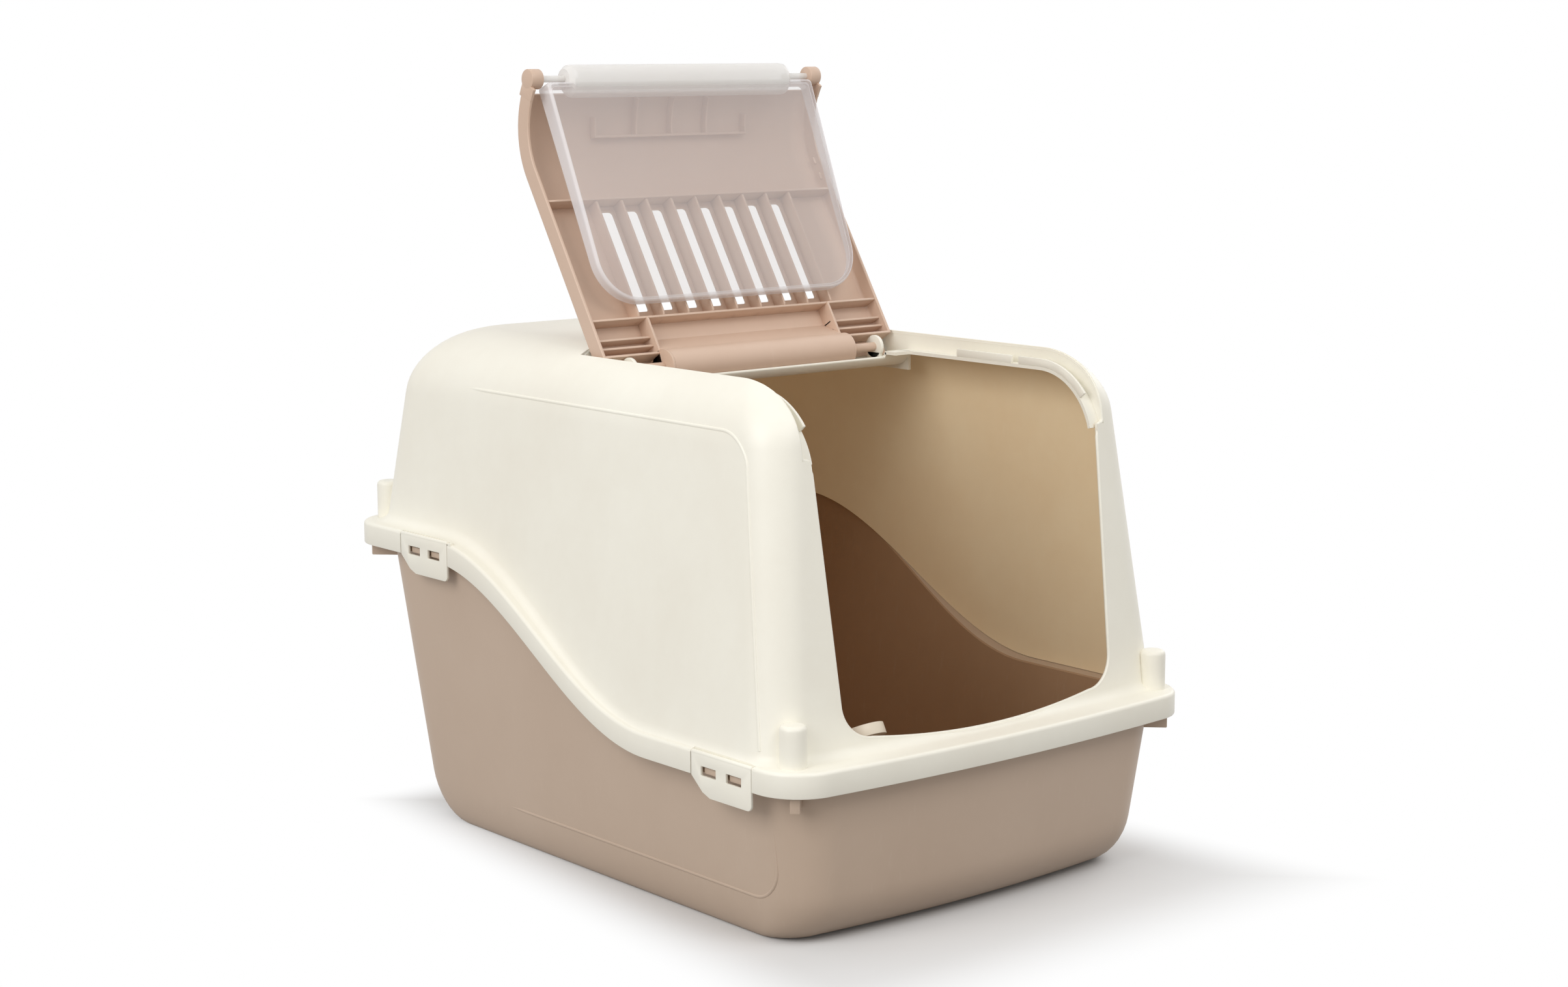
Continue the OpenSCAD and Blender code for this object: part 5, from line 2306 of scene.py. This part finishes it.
@dataclass
class Studio:
    """Floor, lamps, world and camera."""

    place: tuple[float, float, float] = (-1.2995, -1.5787, 0.5994)
    yaw: float = 0.69821
    pitch: float = -0.16147
    roll: float = -0.00319
    lens: float = 62.54
    ambient: float = 0.6
    floor_reach: float = 14.0
    floor_bounce: tuple[float, ...] = (0.36, 0.35, 0.34, 1.0)
    # Grey of the matt floor near the object as the camera sees it, darker than the white beyond:
    # painted shade round the base, on top of the real shadow.
    floor_painted_shade: tuple[float, ...] = (0.8, 0.8, 0.8, 1.0)
    # Where the grey band ends round the base, leaning along y so that it reaches further in
    # front: it shapes the painted shade round the real shadow.
    shadow_half: tuple[float, float] = (0.145, 0.255)
    shadow_lean: tuple[float, float] = (0.12, 0.15)
    shadow_fade: float = 0.085
    lamps: tuple[Lamp, ...] = (
        Lamp("key", (-2.6, -0.5, 1.65), (0, 0, 0.25), 1.8, 37.5),
        Lamp("front", (0.2, -2.3, 2.6), (0, 0, 0.3), 1.6, 27.0),
        Lamp("right", (2.6, 0.3, 1.5), (0, 0, 0.3), 1.6, 14.0),
        Lamp("above", (0.0, 0.6, 2.8), (0, 0, 0.2), 1.8, 2.5))

    def camera(self) -> None:
        """Make the camera."""
        yaw, pitch, roll = self.yaw, self.pitch, self.roll
        ahead = Vector((math.sin(yaw) * math.cos(pitch), math.cos(yaw) * math.cos(pitch),
                        math.sin(pitch)))
        right = Vector((math.cos(yaw), -math.sin(yaw), 0))
        up = right.cross(ahead)
        across_view = right * math.cos(roll) + up * math.sin(roll)
        up_view = up * math.cos(roll) - right * math.sin(roll)
        turn = Matrix((across_view, up_view, -ahead)).transposed().to_4x4()
        data = bpy.data.cameras.new("camera")
        data.lens = self.lens
        data.sensor_width = 36.0
        made = linked("camera", data)
        made.matrix_world = Matrix.Translation(self.place) @ turn
        bpy.context.scene.camera = made

    def light(self) -> None:
        """Make the lamps."""
        for lamp in self.lamps:
            data = bpy.data.lights.new(lamp.name, "AREA")
            data.shape = "SQUARE"
            data.size = lamp.size
            data.energy = lamp.power
            aim = Vector(lamp.aim) - Vector(lamp.place)
            turn = aim.to_track_quat("-Z", "Y").to_matrix().to_4x4()
            linked(lamp.name, data).matrix_world = Matrix.Translation(lamp.place) @ turn

    def surround(self) -> None:
        """Make the world: soft on the object, white behind it."""
        world = bpy.data.worlds.new("studio")
        world.use_nodes = True
        bpy.context.scene.world = world
        graph = ShaderGraph(world.node_tree)
        white = self.seen(graph)
        soft = graph.node("ShaderNodeBackground", {},
                          {"Color": (1.0, 0.995, 0.985, 1.0), "Strength": self.ambient})
        plain = graph.node("ShaderNodeBackground", {},
                           {"Color": (1.0, 1.0, 1.0, 1.0), "Strength": 1.0})
        mixed = graph.node("ShaderNodeMixShader", {}, {0: white, 1: soft, 2: plain})
        graph.node("ShaderNodeOutputWorld", {}, {"Surface": mixed})

    def seen(self, graph: ShaderGraph) -> Wire:
        """Share of rays that see the white ground: straight, mirrored or through glass.

        Args:
            graph: The tree.

        Returns:
            The share, 0 or 1.
        """
        straight = graph.node("ShaderNodeLightPath", {}, {}, "Is Camera Ray")
        mirrored = graph.node("ShaderNodeLightPath", {}, {}, "Is Glossy Ray")
        through = graph.node("ShaderNodeLightPath", {}, {}, "Is Transmission Ray")
        return (straight + mirrored + through).at_most(1.0)

    def floor(self) -> None:
        """Make the floor: a grey band round the object keeps its real shadow and adds painted
        shade, and turns white away from it.
        """
        data = bpy.data.meshes.new("floor")
        reach = self.floor_reach
        data.from_pydata([(-reach, -reach, 0), (reach, -reach, 0), (reach, reach, 0),
                          (-reach, reach, 0)], [], [(0, 1, 2, 3)])
        made = linked("floor", data)
        material = bpy.data.materials.new("pale_floor")
        material.use_nodes = True
        graph = ShaderGraph(material.node_tree)
        place = graph.node("ShaderNodeTexCoord", {}, {}, "Object")
        along = [graph.node("ShaderNodeSeparateXYZ", {}, {0: place}, i) for i in range(2)]
        out = [graph.node("ShaderNodeMath", {"operation": "ABSOLUTE"}, {0: one}) for one in along]
        past = [one + along[1] * lean - half
                for one, lean, half in zip(out, self.shadow_lean, self.shadow_half)]
        away = graph.node("ShaderNodeMath", {"operation": "MAXIMUM"}, {0: past[0], 1: past[1]})
        far = graph.soft_step(away, 0.0, self.shadow_fade)
        seen = self.seen(graph)
        # Camera rays see the grey of the painted shade band; other rays take the darker bounce
        # colour.
        tone = graph.blend(seen, self.floor_bounce, self.floor_painted_shade)
        matt = graph.node("ShaderNodeBsdfDiffuse", {}, {"Color": tone})
        bright = graph.node("ShaderNodeEmission", {},
                            {"Color": (1.0, 1.0, 1.0, 1.0), "Strength": 1.0})
        mixed = graph.node("ShaderNodeMixShader", {},
                           {0: far * seen, 1: matt, 2: bright})
        graph.node("ShaderNodeOutputMaterial", {}, {"Surface": mixed})
        data.materials.append(material)

    def make(self) -> None:
        """Set up the whole studio."""
        bpy.context.scene.view_settings.view_transform = "Standard"
        self.camera()
        self.light()
        self.surround()
        self.floor()


def main() -> None:
    """Build the whole scene."""
    logging.basicConfig(level=logging.INFO, format="%(message)s")
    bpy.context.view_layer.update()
    plan, lid_plan = BoxPlan.from_frame(), LidPlan.from_frame()
    palette, row, bead = Palette.mixed(), RowTree(), BeadTree()
    tray = Tray(plan)
    hood = Hood(plan, lid_plan)
    tray.make(palette, bead)
    hood.make(palette, bead)
    Lid(lid_plan).make(palette, row)
    SwingDoor(lid_plan).make(palette)
    Latches().make(palette)
    Scoop(hood, tray).make(palette, row)
    Studio().make()
    bpy.context.view_layer.update()


if __name__ == "__main__":
    main()
